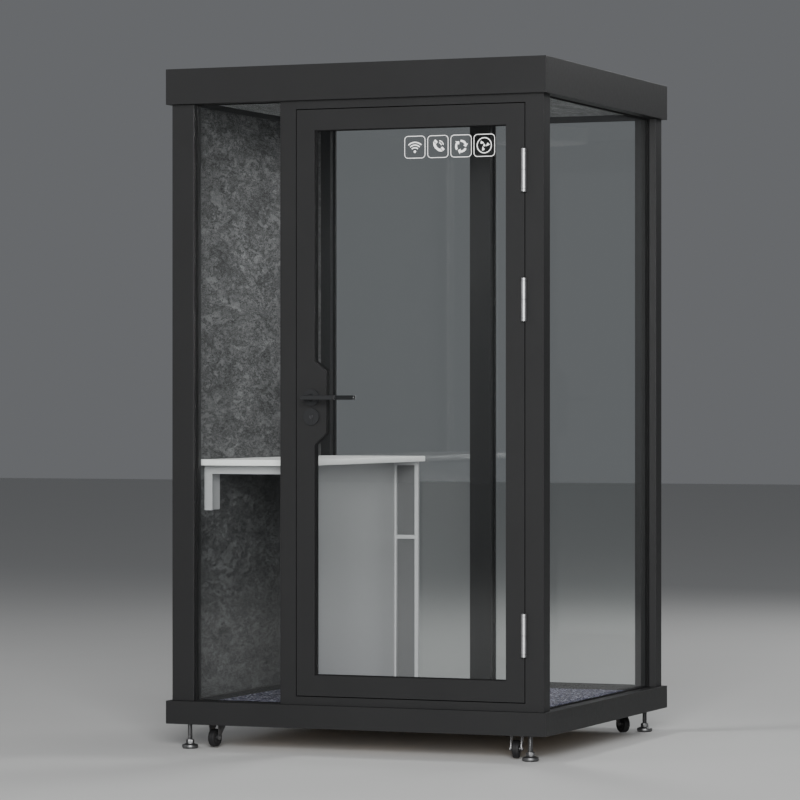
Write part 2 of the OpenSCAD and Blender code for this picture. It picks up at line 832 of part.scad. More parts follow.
module lock_case() {
    color(steel_color) difference() {
        union() {
            lock_case_space();
            face_plate_space();
        }
        block([leaf_x0 + plate_t + case_wall, leaf_mid - case_t / 2 + case_wall, case_z0 + case_wall],
              [case_x1 - case_wall, leaf_mid + case_t / 2 - case_wall, case_z1 - case_wall]);
        block([leaf_x0 - cut, leaf_mid - bolt_w / 2 - slide, lever_h - latch_h / 2 - slide],
              [lever_x, leaf_mid + bolt_w / 2 + slide, lever_h + latch_h / 2 + slide]);
        block([leaf_x0 - cut, leaf_mid - bolt_w / 2 - slide, key_z - bolt_h / 2 - slide],
              [lever_x, leaf_mid + bolt_w / 2 + slide, key_z + bolt_h / 2 + slide]);
        handle_holes();
    }
}

module lock_cylinder() {
    color("#8f9193") difference() {
        plate_y(face_y - rose_t - 1, leaf_y1 + rose_t + 1) key_profile(0);
        rod_y(lever_x, key_z, plug_r + run, face_y - rose_t - 2, leaf_y1 + rose_t + 2);
        rod_y(lever_x, key_z, cam_r + 1, leaf_mid - cam_gap / 2, leaf_mid + cam_gap / 2);
    }
}

// The turning plug, with its key slot, its cam and the thumb turn inside.
module key_plug() {
    color("#a4a6a8") {
        difference() {
            rod_y(lever_x, key_z, plug_r, face_y - rose_t - 1.5, leaf_y1 + rose_t + 10);
            block([lever_x - 1, face_y - rose_t - 3, key_z - 4.5], [lever_x + 1, face_y + 2, key_z + 4.5]);
        }
        rod_y(lever_x, key_z, plug_r + 1.5, leaf_mid - cam_w / 2, leaf_mid + cam_w / 2);
        block([lever_x - 3, leaf_mid - cam_w / 2, key_z], [lever_x + 3, leaf_mid + cam_w / 2, key_z + cam_r - 1]);
        block([lever_x - 3, leaf_y1 + rose_t + 8, key_z - 14], [lever_x + 3, leaf_y1 + rose_t + 22, key_z + 14]);
    }
}

module rose(y_a, z) {
    difference() {
        rod_y(lever_x, z, rose_d / 2, y_a, y_a + rose_t);
        if (z == lever_h) rod_y(lever_x, z, neck_r + run, y_a - cut, y_a + rose_t + cut);
        else plate_y(y_a - cut, y_a + rose_t + cut) key_profile(slide);
    }
}

module door_roses() {
    color("#3a3b3c") for (y = [face_y - rose_t, leaf_y1]) for (z = [lever_h, key_z]) rose(y, z);
}

// A lever from the door's middle out past one face: side is -1 outside and 1 inside.
module lever(side, reach, spindle_l) {
    skin = side < 0 ? face_y : leaf_y1;
    tip = skin + side * reach;
    bar_in = tip - side * lever_bar;
    neck_in = skin - side * tube_wall;
    color("#2f3031") {
        rod_y(lever_x, lever_h, neck_r, min(neck_in, tip), max(neck_in, tip));
        block([lever_x - neck_r, min(bar_in, tip), lever_h - lever_bar / 2],
              [lever_x + lever_l, max(bar_in, tip), lever_h + lever_bar / 2]);
        if (spindle_l > 0)
            block([lever_x - spindle / 2, skin - side * spindle_l, lever_h - spindle / 2],
                  [lever_x + spindle / 2, neck_in, lever_h + spindle / 2]);
    }
}

module outer_lever() {
    lever(-1, lever_reach, 0);
}

module inner_lever() {
    lever(1, lever_reach, leaf_t - tube_wall);
}

module latch_bolt() {
    color(steel_color) difference() {
        block([leaf_x0 - latch_out, leaf_mid - bolt_w / 2, lever_h - latch_h / 2],
              [lever_x - neck_r - latch_tail / 2, leaf_mid + bolt_w / 2, lever_h + latch_h / 2]);
        // sloped nose
        translate([leaf_x0 - latch_out, leaf_mid + bolt_w / 2, 0]) rotate([0, 0, -45])
            block([-6, -latch_out, lever_h - latch_h], [6, latch_out, lever_h + latch_h]);
    }
}

module dead_bolt() {
    color(steel_color)
        block([leaf_x0, leaf_mid - bolt_w / 2, key_z - bolt_h / 2],
              [leaf_x0 + bolt_tail, leaf_mid + bolt_w / 2, key_z + bolt_h / 2]);
}

// A levelling foot: pad, nut and stem.
module foot(x, y) {
    color("#8d8f91") translate([x, y, 0]) {
        cylinder(d1 = pad_d - 4, d2 = pad_d, h = 4);
        translate([0, 0, 4]) cylinder(d = pad_d, h = pad_h - 8);
        translate([0, 0, pad_h - 4]) cylinder(d1 = pad_d, d2 = foot_nut, h = 4);
        translate([0, 0, pad_h]) cylinder(d = foot_nut, h = foot_nut_h, $fn = 6);
        translate([0, 0, pad_h]) cylinder(r = stem_r, h = foot_h + stem_in - pad_h);
    }
}

module foot_front_left() foot(-foot_x, foot_y0);
module foot_front_right() foot(foot_x, foot_y0);
module foot_back_left() foot(-foot_x, foot_y1);
module foot_back_right() foot(foot_x, foot_y1);

// A caster fork with its stem and axle, heading along +X before it is turned.
module fork(x, y, heading) {
    top = foot_h - 1;
    in_w = wheel_w / 2 + fork_gap;
    color("#2a2b2c") translate([x, y, 0]) rotate([0, 0, heading]) {
        translate([0, 0, top - crown_t]) cylinder(r = crown_r, h = crown_t);
        block([0, -in_w - fork_t, top - crown_t], [trail + 12, in_w + fork_t, top - crown_t + 3]);
        translate([0, 0, top]) cylinder(r = caster_stem_r, h = caster_boss_h + 3);
        for (side = [-1, 1])
            plate_y(side * (in_w + fork_t / 2) - fork_t / 2, side * (in_w + fork_t / 2) + fork_t / 2)
                polygon([[-8, top - crown_t + 3], [trail - 9, wheel_z - 7], [trail + 9, wheel_z - 7],
                         [trail + 12, top - crown_t + 3]]);
        rod_y(trail, wheel_z, axle_r, -in_w - fork_t - 2, in_w + fork_t + 2);
    }
}

module fork_front_left() fork(-caster_x, caster_y0, head_front_left);
module fork_front_right() fork(caster_x, caster_y0, head_front_right);
module fork_back_left() fork(-caster_x, caster_y1, head_back_left);
module fork_back_right() fork(caster_x, caster_y1, head_back_right);

module wheel(x, y, heading) {
    hub = wheel_w / 2 + fork_gap - 0.5;
    color("#101011") translate([x, y, 0]) rotate([0, 0, heading]) difference() {
        union() {
            rod_y(trail, wheel_z, wheel_d / 2, -wheel_w / 2, wheel_w / 2);
            rod_y(trail, wheel_z, 2 * axle_r, -hub, hub);
        }
        rod_y(trail, wheel_z, axle_r + run, -wheel_w, wheel_w);
    }
}

module wheel_front_left() wheel(-caster_x, caster_y0, head_front_left);
module wheel_front_right() wheel(caster_x, caster_y0, head_front_right);
module wheel_back_left() wheel(-caster_x, caster_y1, head_back_left);
module wheel_back_right() wheel(caster_x, caster_y1, head_back_right);

base_frame();
floor_board();
carpet();
roof_frame();
roof_cover();
ceiling_panel();
front_left_post();
front_right_post();
back_posts();
front_mullion();
back_mullion();
door_head();
door_sill();
wall_skin();
wall_core();
wall_felt();
front_glass();
right_glass();
back_glass();
glazing_seals();
door_seal();
lamp_housing();
lamp_diffuser();
fan_housing();
fan_impeller();
desk_top();
desk_bracket();
desk_support();
switch_plate();
switch_rocker();
power_inlet();
frame_hinge_leaves();
door_hinge_leaves();
strike_plate();
lock_stile();
hinge_stile();
door_rails();
lock_block();
door_glass();
door_glass_seal();
lock_case();
lock_cylinder();
key_plug();
door_roses();
outer_lever();
inner_lever();
latch_bolt();
dead_bolt();
foot_front_left();
foot_front_right();
foot_back_left();
foot_back_right();
fork_front_left();
fork_front_right();
fork_back_left();
fork_back_right();
wheel_front_left();
wheel_front_right();
wheel_back_left();
wheel_back_right();
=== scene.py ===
import json
import math
import bmesh
import bpy
from mathutils import Matrix, Vector, noise


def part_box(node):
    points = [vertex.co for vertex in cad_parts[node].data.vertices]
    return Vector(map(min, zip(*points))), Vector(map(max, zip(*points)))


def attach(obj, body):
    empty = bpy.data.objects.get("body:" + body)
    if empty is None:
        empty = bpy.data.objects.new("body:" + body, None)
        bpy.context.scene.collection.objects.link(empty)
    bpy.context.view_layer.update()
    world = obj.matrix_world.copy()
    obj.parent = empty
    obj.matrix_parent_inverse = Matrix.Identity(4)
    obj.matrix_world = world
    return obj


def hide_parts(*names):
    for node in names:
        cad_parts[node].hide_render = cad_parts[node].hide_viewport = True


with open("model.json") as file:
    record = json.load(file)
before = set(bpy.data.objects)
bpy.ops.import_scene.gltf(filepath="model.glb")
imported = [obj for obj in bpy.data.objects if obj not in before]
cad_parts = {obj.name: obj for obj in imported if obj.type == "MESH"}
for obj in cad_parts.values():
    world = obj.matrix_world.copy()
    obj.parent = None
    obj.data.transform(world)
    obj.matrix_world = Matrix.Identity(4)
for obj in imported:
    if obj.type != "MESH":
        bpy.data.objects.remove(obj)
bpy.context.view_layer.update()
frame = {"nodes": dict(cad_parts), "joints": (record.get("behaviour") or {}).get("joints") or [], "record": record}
nodes = frame["nodes"]
scene = bpy.context.scene
bodyOf = {name: body for body, names in frame["record"]["behaviour"]["bodies"].items() for name in names}
slotOf = {part["node"]: part["material_slot"] for part in frame["record"]["subparts"]}
jointOf = {joint["name"]: joint for joint in frame["joints"]}
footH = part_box("base_frame")[0].z
print("frame loaded:", len(nodes), "nodes")


# camera, floor and lights
view = {"lens": 166.5, "yaw": 22.03, "place": (4.7614, -11.981, 1.0843), "shiftY": 0.0051}
cameraData = bpy.data.cameras.new("camera")
cameraData.lens = view["lens"]
cameraData.shift_y = view["shiftY"]
camera = bpy.data.objects.new("camera", cameraData)
baseLow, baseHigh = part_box("base_frame")
camera.location = Vector(view["place"]) + Vector((0, (baseLow.y + baseHigh.y) / 2, footH))
camera.rotation_euler = (math.pi / 2, 0, math.radians(view["yaw"]))
scene.collection.objects.link(camera)
scene.camera = camera


# node helpers
def nodeTree(material):
    material.use_nodes = True
    tree = material.node_tree
    tree.nodes.clear()
    return tree


def addNode(tree, kind, **inputs):
    node = tree.nodes.new(kind)
    for name, value in inputs.items():
        socket = node.inputs[name.replace("_", " ")]
        if isinstance(value, bpy.types.NodeSocket):
            tree.links.new(value, socket)
        else:
            socket.default_value = value
    return node


def objectCoords(tree, scale=(1, 1, 1)):
    coords = tree.nodes.new("ShaderNodeTexCoord")
    mapping = addNode(tree, "ShaderNodeMapping", Vector=coords.outputs["Object"])
    mapping.inputs["Scale"].default_value = scale
    return mapping.outputs["Vector"]


def noiseOf(tree, coords, scale, detail=4.0, rough=0.5, twist=0.0):
    node = addNode(tree, "ShaderNodeTexNoise", Vector=coords, Scale=scale, Detail=detail,
                   Roughness=rough)
    node.inputs["Distortion"].default_value = twist
    return node.outputs["Fac"]


def rampOf(tree, value, stops):
    ramp = addNode(tree, "ShaderNodeValToRGB", Fac=value)
    points = ramp.color_ramp.elements
    while len(points) < len(stops):
        points.new(0.5)
    for point, (place, color) in zip(points, stops):
        point.position = place
        point.color = (*color, 1) if len(color) == 3 else color
    return ramp.outputs["Color"]


def mapRange(tree, value, low, high, fromLow=0.0, fromHigh=1.0):
    node = addNode(tree, "ShaderNodeMapRange", Value=value)
    node.inputs["From Min"].default_value = fromLow
    node.inputs["From Max"].default_value = fromHigh
    node.inputs["To Min"].default_value = low
    node.inputs["To Max"].default_value = high
    return node.outputs["Result"]


def mathOf(tree, operation, first, second=0.0):
    node = tree.nodes.new("ShaderNodeMath")
    node.operation = operation
    for socket, value in zip(node.inputs, (first, second)):
        if isinstance(value, bpy.types.NodeSocket):
            tree.links.new(value, socket)
        else:
            socket.default_value = value
    return node.outputs[0]


def mixOf(tree, factor, first, second, blend="MIX"):
    node = tree.nodes.new("ShaderNodeMix")
    node.data_type = "RGBA"
    node.blend_type = blend
    for index, value in ((0, factor), (6, first), (7, second)):
        socket = node.inputs[index]
        if isinstance(value, bpy.types.NodeSocket):
            tree.links.new(value, socket)
        elif index == 0:
            socket.default_value = value
        else:
            socket.default_value = (*value, 1)
    return node.outputs[2]


def bumpOf(tree, height, distance, strength=1.0, normal=None):
    node = addNode(tree, "ShaderNodeBump", Height=height, Distance=distance, Strength=strength)
    if normal is not None:
        tree.links.new(normal, node.inputs["Normal"])
    return node.outputs["Normal"]


def surfaceOf(tree, color, roughness, normal=None, **values):
    shader = tree.nodes.new("ShaderNodeBsdfPrincipled")
    for name, value in (("Base Color", color), ("Roughness", roughness), ("Normal", normal)):
        if isinstance(value, bpy.types.NodeSocket):
            tree.links.new(value, shader.inputs[name])
        elif name == "Base Color":
            shader.inputs[name].default_value = (*value, 1)
        elif value is not None:
            shader.inputs[name].default_value = value
    for name, value in values.items():
        shader.inputs[name.replace("_", " ")].default_value = value
    output = tree.nodes.new("ShaderNodeOutputMaterial")
    tree.links.new(shader.outputs["BSDF"], output.inputs["Surface"])
    return shader


# a new material with an empty tree, and the coordinates its patterns hang on
def newFinish(name, stretch=(1, 1, 1)):
    material = bpy.data.materials.new(name)
    tree = nodeTree(material)
    return material, tree, objectCoords(tree, stretch)


def toned(color, factor):
    return tuple(c * factor for c in color)


# materials
def powderCoat(name, color, grain=1400, gloss=0.46, specular=0.2):
    material, tree, coords = newFinish(name)
    cloud = noiseOf(tree, coords, 5, 3)
    peel = noiseOf(tree, coords, grain, 2)
    dust = noiseOf(tree, coords, 60, 6, 0.65)
    tone = mixOf(tree, cloud, toned(color, 0.88), toned(color, 1.14))
    specks = mapRange(tree, peel, 0, 0.22, 0.45, 0.7)
    tone = mixOf(tree, specks, tone, toned(color, 1.6))
    rough = mapRange(tree, dust, gloss - 0.05, gloss + 0.09)
    normal = bumpOf(tree, peel, 0.00012, 0.45)
    shader = surfaceOf(tree, tone, rough, normal)
    shader.inputs["Specular IOR Level"].default_value = specular
    return material


def paneGlass():
    material, tree, coords = newFinish("clearGlass")
    smear = noiseOf(tree, coords, 3.2, 5, 0.6, 0.4)
    facing = addNode(tree, "ShaderNodeLayerWeight", Blend=0.5).outputs["Facing"]
    rim = mathOf(tree, "POWER", facing, 5.0)
    mirror = mathOf(tree, "ADD", mathOf(tree, "MULTIPLY", rim, 0.45), 0.024)
    see = addNode(tree, "ShaderNodeBsdfTransparent")
    see.inputs["Color"].default_value = (0.965, 0.975, 0.972, 1)
    shine = addNode(tree, "ShaderNodeBsdfGlossy", Roughness=mapRange(tree, smear, 0.0, 0.05, 0.4, 0.8))
    shine.inputs["Color"].default_value = (1, 1, 1, 1)
    mix = tree.nodes.new("ShaderNodeMixShader")
    tree.links.new(mirror, mix.inputs[0])
    tree.links.new(see.outputs[0], mix.inputs[1])
    tree.links.new(shine.outputs[0], mix.inputs[2])
    output = tree.nodes.new("ShaderNodeOutputMaterial")
    tree.links.new(mix.outputs[0], output.inputs["Surface"])
    return material


def acousticFelt(name, shade, stretch):
    material, tree, coords = newFinish(name, stretch)
    wander = addNode(tree, "ShaderNodeTexNoise", Vector=coords, Scale=11.0, Detail=7.0, Roughness=0.68)
    shifted = mixOf(tree, 0.16, coords, wander.outputs["Color"])
    patches = noiseOf(tree, shifted, 15, 7, 0.66, 0.9)
    flecks = noiseOf(tree, coords, 120, 8, 0.78, 2.2)
    fibres = noiseOf(tree, coords, 420, 4, 0.6)
    veins = addNode(tree, "ShaderNodeTexNoise", Vector=shifted, Scale=24.0, Detail=6.0, Roughness=0.62)
    veins.inputs["Distortion"].default_value = 1.6
    ridge = mathOf(tree, "ABSOLUTE", mathOf(tree, "SUBTRACT", veins.outputs["Fac"], 0.5))
    crack = mapRange(tree, ridge, 1.0, 0.0, 0.0, 0.05)
    steps = ((0.32, 0.55), (0.47, 0.9), (0.58, 1.1), (0.75, 1.5))
    tone = rampOf(tree, patches, [(at, toned(shade, factor)) for at, factor in steps])
    tone = mixOf(tree, mapRange(tree, crack, 0, 0.85), tone, toned(shade, 0.3))
    tone = mixOf(tree, mapRange(tree, flecks, 0, 0.9, 0.53, 0.63), tone, toned(shade, 0.2))
    tone = mixOf(tree, mapRange(tree, flecks, 0.7, 0, 0.33, 0.43), tone, toned(shade, 2.4))
    pits, creases = mathOf(tree, "MULTIPLY", flecks, -0.8), mathOf(tree, "MULTIPLY", crack, -0.5)
    height = mathOf(tree, "ADD", pits, creases)
    normal = bumpOf(tree, height, 0.005, 0.8)
    normal = bumpOf(tree, fibres, 0.0006, 0.5, normal)
    shader = surfaceOf(tree, tone, 1.0, normal)
    shader.inputs["Specular IOR Level"].default_value = 0.1
    return material


def loopCarpet():
    material, tree, coords = newFinish("loopCarpet")
    loops = addNode(tree, "ShaderNodeTexVoronoi", Vector=coords, Scale=300.0, Randomness=0.75)
    clumps = addNode(tree, "ShaderNodeTexVoronoi", Vector=coords, Scale=135.0, Randomness=1.0)
    drift = noiseOf(tree, coords, 40, 6, 0.7)
    yarn = addNode(tree, "ShaderNodeSeparateColor", Color=loops.outputs["Color"]).outputs["Red"]
    clump = addNode(tree, "ShaderNodeSeparateColor", Color=clumps.outputs["Color"]).outputs["Green"]
    pick = mathOf(tree, "ADD", mathOf(tree, "MULTIPLY", yarn, 0.4), mathOf(tree, "MULTIPLY", clump, 0.45))
    pick = mathOf(tree, "ADD", pick, mathOf(tree, "MULTIPLY", drift, 0.2))
    yarns = [(0.3, (0.008, 0.008, 0.018)), (0.45, (0.024, 0.023, 0.055)), (0.58, (0.05, 0.047, 0.105)),
             (0.68, (0.15, 0.145, 0.24)), (0.78, (0.6, 0.6, 0.68))]
    tone = rampOf(tree, pick, yarns)
    height = mathOf(tree, "SUBTRACT", 0.7, loops.outputs["Distance"])
    normal = bumpOf(tree, height, 0.003, 0.8)
    shader = surfaceOf(tree, tone, 1.0, normal)
    shader.inputs["Specular IOR Level"].default_value = 0.1
    return material


def brushedSteel(name, color, grainScale=(40, 40, 900), gloss=0.3):
    material, tree, coords = newFinish(name, grainScale)
    grain = noiseOf(tree, coords, 1.0, 6, 0.7)
    wide = noiseOf(tree, objectCoords(tree), 30, 4)
    tone = mixOf(tree, wide, toned(color, 0.85), toned(color, 1.12))
    rough = mapRange(tree, grain, gloss - 0.08, gloss + 0.14)
    surfaceOf(tree, tone, rough, bumpOf(tree, grain, 0.00008, 0.35), Metallic=1.0)
    return material


def zincPlate(name, color):
    material, tree, coords = newFinish(name)
    spangle = addNode(tree, "ShaderNodeTexVoronoi", Vector=coords, Scale=160.0)
    shade = addNode(tree, "ShaderNodeSeparateColor", Color=spangle.outputs["Color"]).outputs["Green"]
    stain = noiseOf(tree, coords, 45, 6, 0.7)
    tone = mixOf(tree, shade, toned(color, 0.82), toned(color, 1.2))
    tone = mixOf(tree, mapRange(tree, stain, 0, 0.5, 0.5, 0.75), tone, toned(color, 0.45))
    surfaceOf(tree, tone, mapRange(tree, stain, 0.32, 0.52), bumpOf(tree, stain, 0.0002, 0.3), Metallic=0.9)
    return material


def laminate(name, color, gloss=0.42):
    material, tree, coords = newFinish(name)
    cloud = noiseOf(tree, coords, 3, 3)
    grain = noiseOf(tree, coords, 700, 3)
    scuff = noiseOf(tree, coords, 26, 8, 0.75, 0.8)
    tone = mixOf(tree, cloud, toned(color, 0.965), toned(color, 1.03))
    tone = mixOf(tree, mapRange(tree, scuff, 0, 0.25, 0.62, 0.8), tone, toned(color, 0.8))
    surfaceOf(tree, tone, mapRange(tree, scuff, gloss - 0.04, gloss + 0.1), bumpOf(tree, grain, 0.00008, 0.4))
    return material


def rubber(name, color, rough):
    material, tree, coords = newFinish(name)
    bloom = noiseOf(tree, coords, 38, 6, 0.7)
    skin = noiseOf(tree, coords, 420, 4, 0.6)
    tone = mixOf(tree, mapRange(tree, bloom, 0, 0.7, 0.4, 0.75), color, tuple(c * 2.1 + 0.001 for c in color))
    sheen = mapRange(tree, bloom, rough - 0.08, rough + 0.12)
    shader = surfaceOf(tree, tone, sheen, bumpOf(tree, skin, 0.0002, 0.4))
    shader.inputs["Specular IOR Level"].default_value = 0.2
    return material


def mouldedPlastic(name, color, rough=0.4, grain=900, depth=0.0001):
    material, tree, coords = newFinish(name)
    skin = noiseOf(tree, coords, grain, 3, 0.6)
    cloud = noiseOf(tree, coords, 18, 4)
    tone = mixOf(tree, cloud, toned(color, 0.93), toned(color, 1.06))
    surfaceOf(tree, tone, mapRange(tree, cloud, rough - 0.05, rough + 0.07), bumpOf(tree, skin, depth, 0.5))
    return material


def opalLight():
    material, tree, coords = newFinish("opalLight")
    prism = noiseOf(tree, coords, 500, 2)
    tone = mixOf(tree, noiseOf(tree, coords, 12, 3), (0.36, 0.36, 0.35), (0.42, 0.42, 0.41))
    shader = surfaceOf(tree, tone, 0.45, bumpOf(tree, prism, 0.0001, 0.4), Emission_Strength=0.42)
    shader.inputs["Emission Color"].default_value = (1.0, 0.99, 0.96, 1)
    return material


def pressedBoard():
    material, tree, coords = newFinish("pressedBoard", (1, 0.25, 1))
    chips = addNode(tree, "ShaderNodeTexVoronoi", Vector=coords, Scale=110.0)
    shade = addNode(tree, "ShaderNodeSeparateColor", Color=chips.outputs["Color"]).outputs["Red"]
    tone = mixOf(tree, shade, (0.24, 0.15, 0.075), (0.5, 0.36, 0.2))
    surfaceOf(tree, tone, 0.75, bumpOf(tree, chips.outputs["Distance"], 0.0008, 0.5))
    return material


def mineralWool():
    material, tree, coords = newFinish("mineralWool", (1, 1, 4))
    strands = noiseOf(tree, coords, 160, 8, 0.75, 1.2)
    tone = mixOf(tree, strands, (0.26, 0.19, 0.05), (0.62, 0.52, 0.2))
    surfaceOf(tree, tone, 0.98, bumpOf(tree, strands, 0.003, 0.8))
    return material


frameColor = (0.0118, 0.0119, 0.0122)
materials = {
    "frame_paint": powderCoat("framePaint", frameColor),
    "profile_paint": powderCoat("profilePaint", frameColor),
    "cover_paint": powderCoat("coverPaint", (0.012, 0.0123, 0.013), 900, 0.55),
    "board": pressedBoard(),
    "carpet": loopCarpet(),
    # the ceiling felt is made much lighter than the wall felt: painted light for the light the ceiling gets
    "ceiling_felt": acousticFelt("ceilingFeltPaintedLight", (0.42, 0.42, 0.423), (1.8, 0.35, 1)),
    "wall_felt": acousticFelt("wallFelt", (0.12, 0.12, 0.122), (1, 0.42, 1)),
    "wool": mineralWool(),
    "clear_glass": paneGlass(),
    "seal_rubber": rubber("sealRubber", (0.0035, 0.0035, 0.0037), 0.85),
    "lamp_white": powderCoat("lampWhite", (0.72, 0.72, 0.70), 1200, 0.4),
    "lamp_light": opalLight(),
    "black_plastic": mouldedPlastic("blackPlastic", (0.012, 0.012, 0.013), 0.45),
    "desk_white": laminate("deskWhite", (0.72, 0.72, 0.71), 0.4),
    "desk_grey": laminate("deskGrey", (0.37, 0.37, 0.375), 0.46),
    "switch_plastic": mouldedPlastic("switchPlastic", (0.72, 0.72, 0.70), 0.3),
    "satin_steel": brushedSteel("satinSteel", (0.33, 0.331, 0.334), (40, 40, 900), 0.42),
    "handle_dark": powderCoat("handleDark", (0.016, 0.0165, 0.0175), 1700, 0.34),
    "foot_steel": zincPlate("footZinc", (0.13, 0.131, 0.133)),
    "fork_steel": zincPlate("forkZinc", (0.16, 0.16, 0.163)),
    "wheel_rubber": rubber("wheelRubber", (0.009, 0.009, 0.0095), 0.6),
    # dark laminate for the end frame's bays: painted shade of the recess under the desk top
    "recess_shade_sheet": laminate("recessShadeSheet", (0.085, 0.085, 0.087), 0.7),
    "edge_band": mouldedPlastic("edgeBand", (0.80, 0.80, 0.79), 0.34),
    "dark_steel": brushedSteel("darkSteel", (0.09, 0.09, 0.095), (60, 900, 60), 0.34),
    "white_film": mouldedPlastic("whiteFilm", (0.86, 0.86, 0.85), 0.5, 1500, 0.00004),
}
print("materials made:", len(materials))

for name, cadNode in nodes.items():
    cadNode.data.materials.clear()
    cadNode.data.materials.append(materials[slotOf[name]])


# stage
stageLook = {"floorTone": (0.62, 0.62, 0.61), "reach": 40.0, "world": 0.15}


def makeStage():
    mesh = bpy.data.meshes.new("studioFloor")
    reach = stageLook["reach"]
    corners = [(-reach, -reach, 0), (reach, -reach, 0), (reach, reach, 0), (-reach, reach, 0)]
    mesh.from_pydata(corners, [], [(0, 1, 2, 3)])
    floor = bpy.data.objects.new("studioFloor", mesh)
    scene.collection.objects.link(floor)
    material, tree, coords = newFinish("studioFloor")
    paint = stageLook["floorTone"]
    tone = mixOf(tree, noiseOf(tree, coords, 2, 3), paint, toned(paint, 1.03))
    surfaceOf(tree, tone, 0.7)
    mesh.materials.append(material)
    world = bpy.data.worlds.new("studio")
    world.use_nodes = True
    background = world.node_tree.nodes["Background"]
    background.inputs["Color"].default_value = (0.92, 0.95, 1.0, 1)
    background.inputs["Strength"].default_value = stageLook["world"]
    scene.world = world


def areaLight(name, place, aim, size, power):
    light = bpy.data.lights.new(name, "AREA")
    light.shape = "RECTANGLE"
    light.size, light.size_y = size
    light.energy = power
    lamp = bpy.data.objects.new(name, light)
    lamp.location = place
    lamp.rotation_euler = (Vector(aim) - Vector(place)).to_track_quat("-Z", "Y").to_euler()
    scene.collection.objects.link(lamp)


makeStage()
areaLight("keyLight", (4.4, -11.0, 3.2), (0, 0, 1.1), (4.5, 4.5), 2150)
areaLight("fillLight", (-6.0, -6.0, 4.0), (0, 0, 1.0), (4.0, 4.0), 130)
areaLight("backLight", (2.0, 7.0, 5.0), (0, 0, 1.4), (5.0, 3.0), 200)
print("stage and lights made")


# mesh helpers
mergeDistance = 0.00002


def link(name, mesh):
    piece = bpy.data.objects.new(name, mesh)
    scene.collection.objects.link(piece)
    return piece


def toPiece(name, work, sharp=35):
    mesh = bpy.data.meshes.new(name)
    bmesh.ops.recalc_face_normals(work, faces=work.faces)
    work.to_mesh(mesh)
    work.free()
    for polygon in mesh.polygons:
        polygon.use_smooth = True
    mesh.set_sharp_from_angle(angle=math.radians(sharp))
    return link(name, mesh)


def settle(piece, body, slotName, material=None, replaced=()):
    piece.data.materials.clear()
    piece.data.materials.append(material or materials[slotName])
    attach(piece, body)
    if replaced:
        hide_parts(*replaced)
    return piece


def evaluated(piece):
    graph = bpy.context.evaluated_depsgraph_get()
    graph.update()
    mesh = bpy.data.meshes.new_from_object(piece.evaluated_get(graph))
    piece.modifiers.clear()
    piece.data = mesh
    return piece


def weighted(piece):
    piece.modifiers.new("weightedNormals", "WEIGHTED_NORMAL").keep_sharp = True
    return evaluated(piece)


def cleanCopy(nodeName):
    work = bmesh.new()
    work.from_mesh(nodes[nodeName].data)
    bmesh.ops.remove_doubles(work, verts=work.verts, dist=mergeDistance)
    return work


# the separate solids of one node, as the corners of their boxes
def islandBoxes(nodeName):
    work = cleanCopy(nodeName)
    boxes, seen = [], set()
    for start in work.verts:
        if start in seen:
            continue
        seen.add(start)
        stack, group = [start], []
        while stack:
            vert = stack.pop()
            group.append(vert.co.copy())
            for edge in vert.link_edges:
                other = edge.other_vert(vert)
                if other not in seen:
                    seen.add(other)
                    stack.append(other)
        boxes.append((Vector([min(c[i] for c in group) for i in range(3)]),
                      Vector([max(c[i] for c in group) for i in range(3)])))
    work.free()
    return boxes


def boxInto(work, low, high):
    verts = [work.verts.new((x, y, z)) for x in (low[0], high[0]) for y in (low[1], high[1])
             for z in (low[2], high[2])]
    for loop in ((0, 1, 3, 2), (4, 6, 7, 5), (0, 4, 5, 1), (2, 3, 7, 6), (0, 2, 6, 4), (1, 5, 7, 3)):
        work.faces.new([verts[i] for i in loop])


def roundBoxInto(work, low, high, radius, segments=3, place=None):
    part = bmesh.new()
    boxInto(part, low, high)
    bmesh.ops.bevel(part, geom=part.edges[:], offset=radius, segments=segments, profile=0.5, affect="EDGES")
    mergeInto(work, part, place)


def mergeInto(work, part, place=None):
    if place is not None:
        bmesh.ops.transform(part, matrix=place, verts=part.verts)
    mesh = bpy.data.meshes.new("part")
    part.to_mesh(mesh)
    part.free()
    work.from_mesh(mesh)
    bpy.data.meshes.remove(mesh)


# the middle of a box's floor
def baseOf(low, high):
    return Vector(((low.x + high.x) / 2, (low.y + high.y) / 2, low.z))


def placeOf(centre, along=(0, 0, 1)):
    turn = Vector((0, 0, 1)).rotation_difference(Vector(along)).to_matrix().to_4x4()
    return Matrix.Translation(centre) @ turn


# quads between neighbouring rings of the same length
def skinInto(work, rings):
    for a, b in zip(rings, rings[1:]):
        for k in range(len(a)):
            j = (k + 1) % len(a)
            work.faces.new((a[k], a[j], b[j], b[k]))


# closes the gap between two open rims
def bridgeRims(work):
    bmesh.ops.bridge_loops(work, edges=[edge for edge in work.edges if len(edge.link_faces) == 1])


# a turned shape: the profile is a list of radius and height
def latheInto(work, profile, place, steps=48, closed=False):
    rings = []
    for radius, height in profile:
        if radius < 1e-7:
            rings.append([work.verts.new(place @ Vector((0, 0, height)))])
        else:
            rings.append([work.verts.new(place @ Vector((radius * math.cos(a), radius * math.sin(a), height)))
                          for a in (2 * math.pi * i / steps for i in range(steps))])
    pairs = list(zip(rings, rings[1:])) + ([(rings[-1], rings[0])] if closed else [])
    for lower, upper in pairs:
        for i in range(steps):
            j = (i + 1) % steps
            if len(lower) == 1 and len(upper) == 1:
                continue
            if len(lower) == 1:
                work.faces.new((lower[0], upper[j], upper[i]))
            elif len(upper) == 1:
                work.faces.new((lower[i], lower[j], upper[0]))
            else:
                work.faces.new((lower[i], lower[j], upper[j], upper[i]))


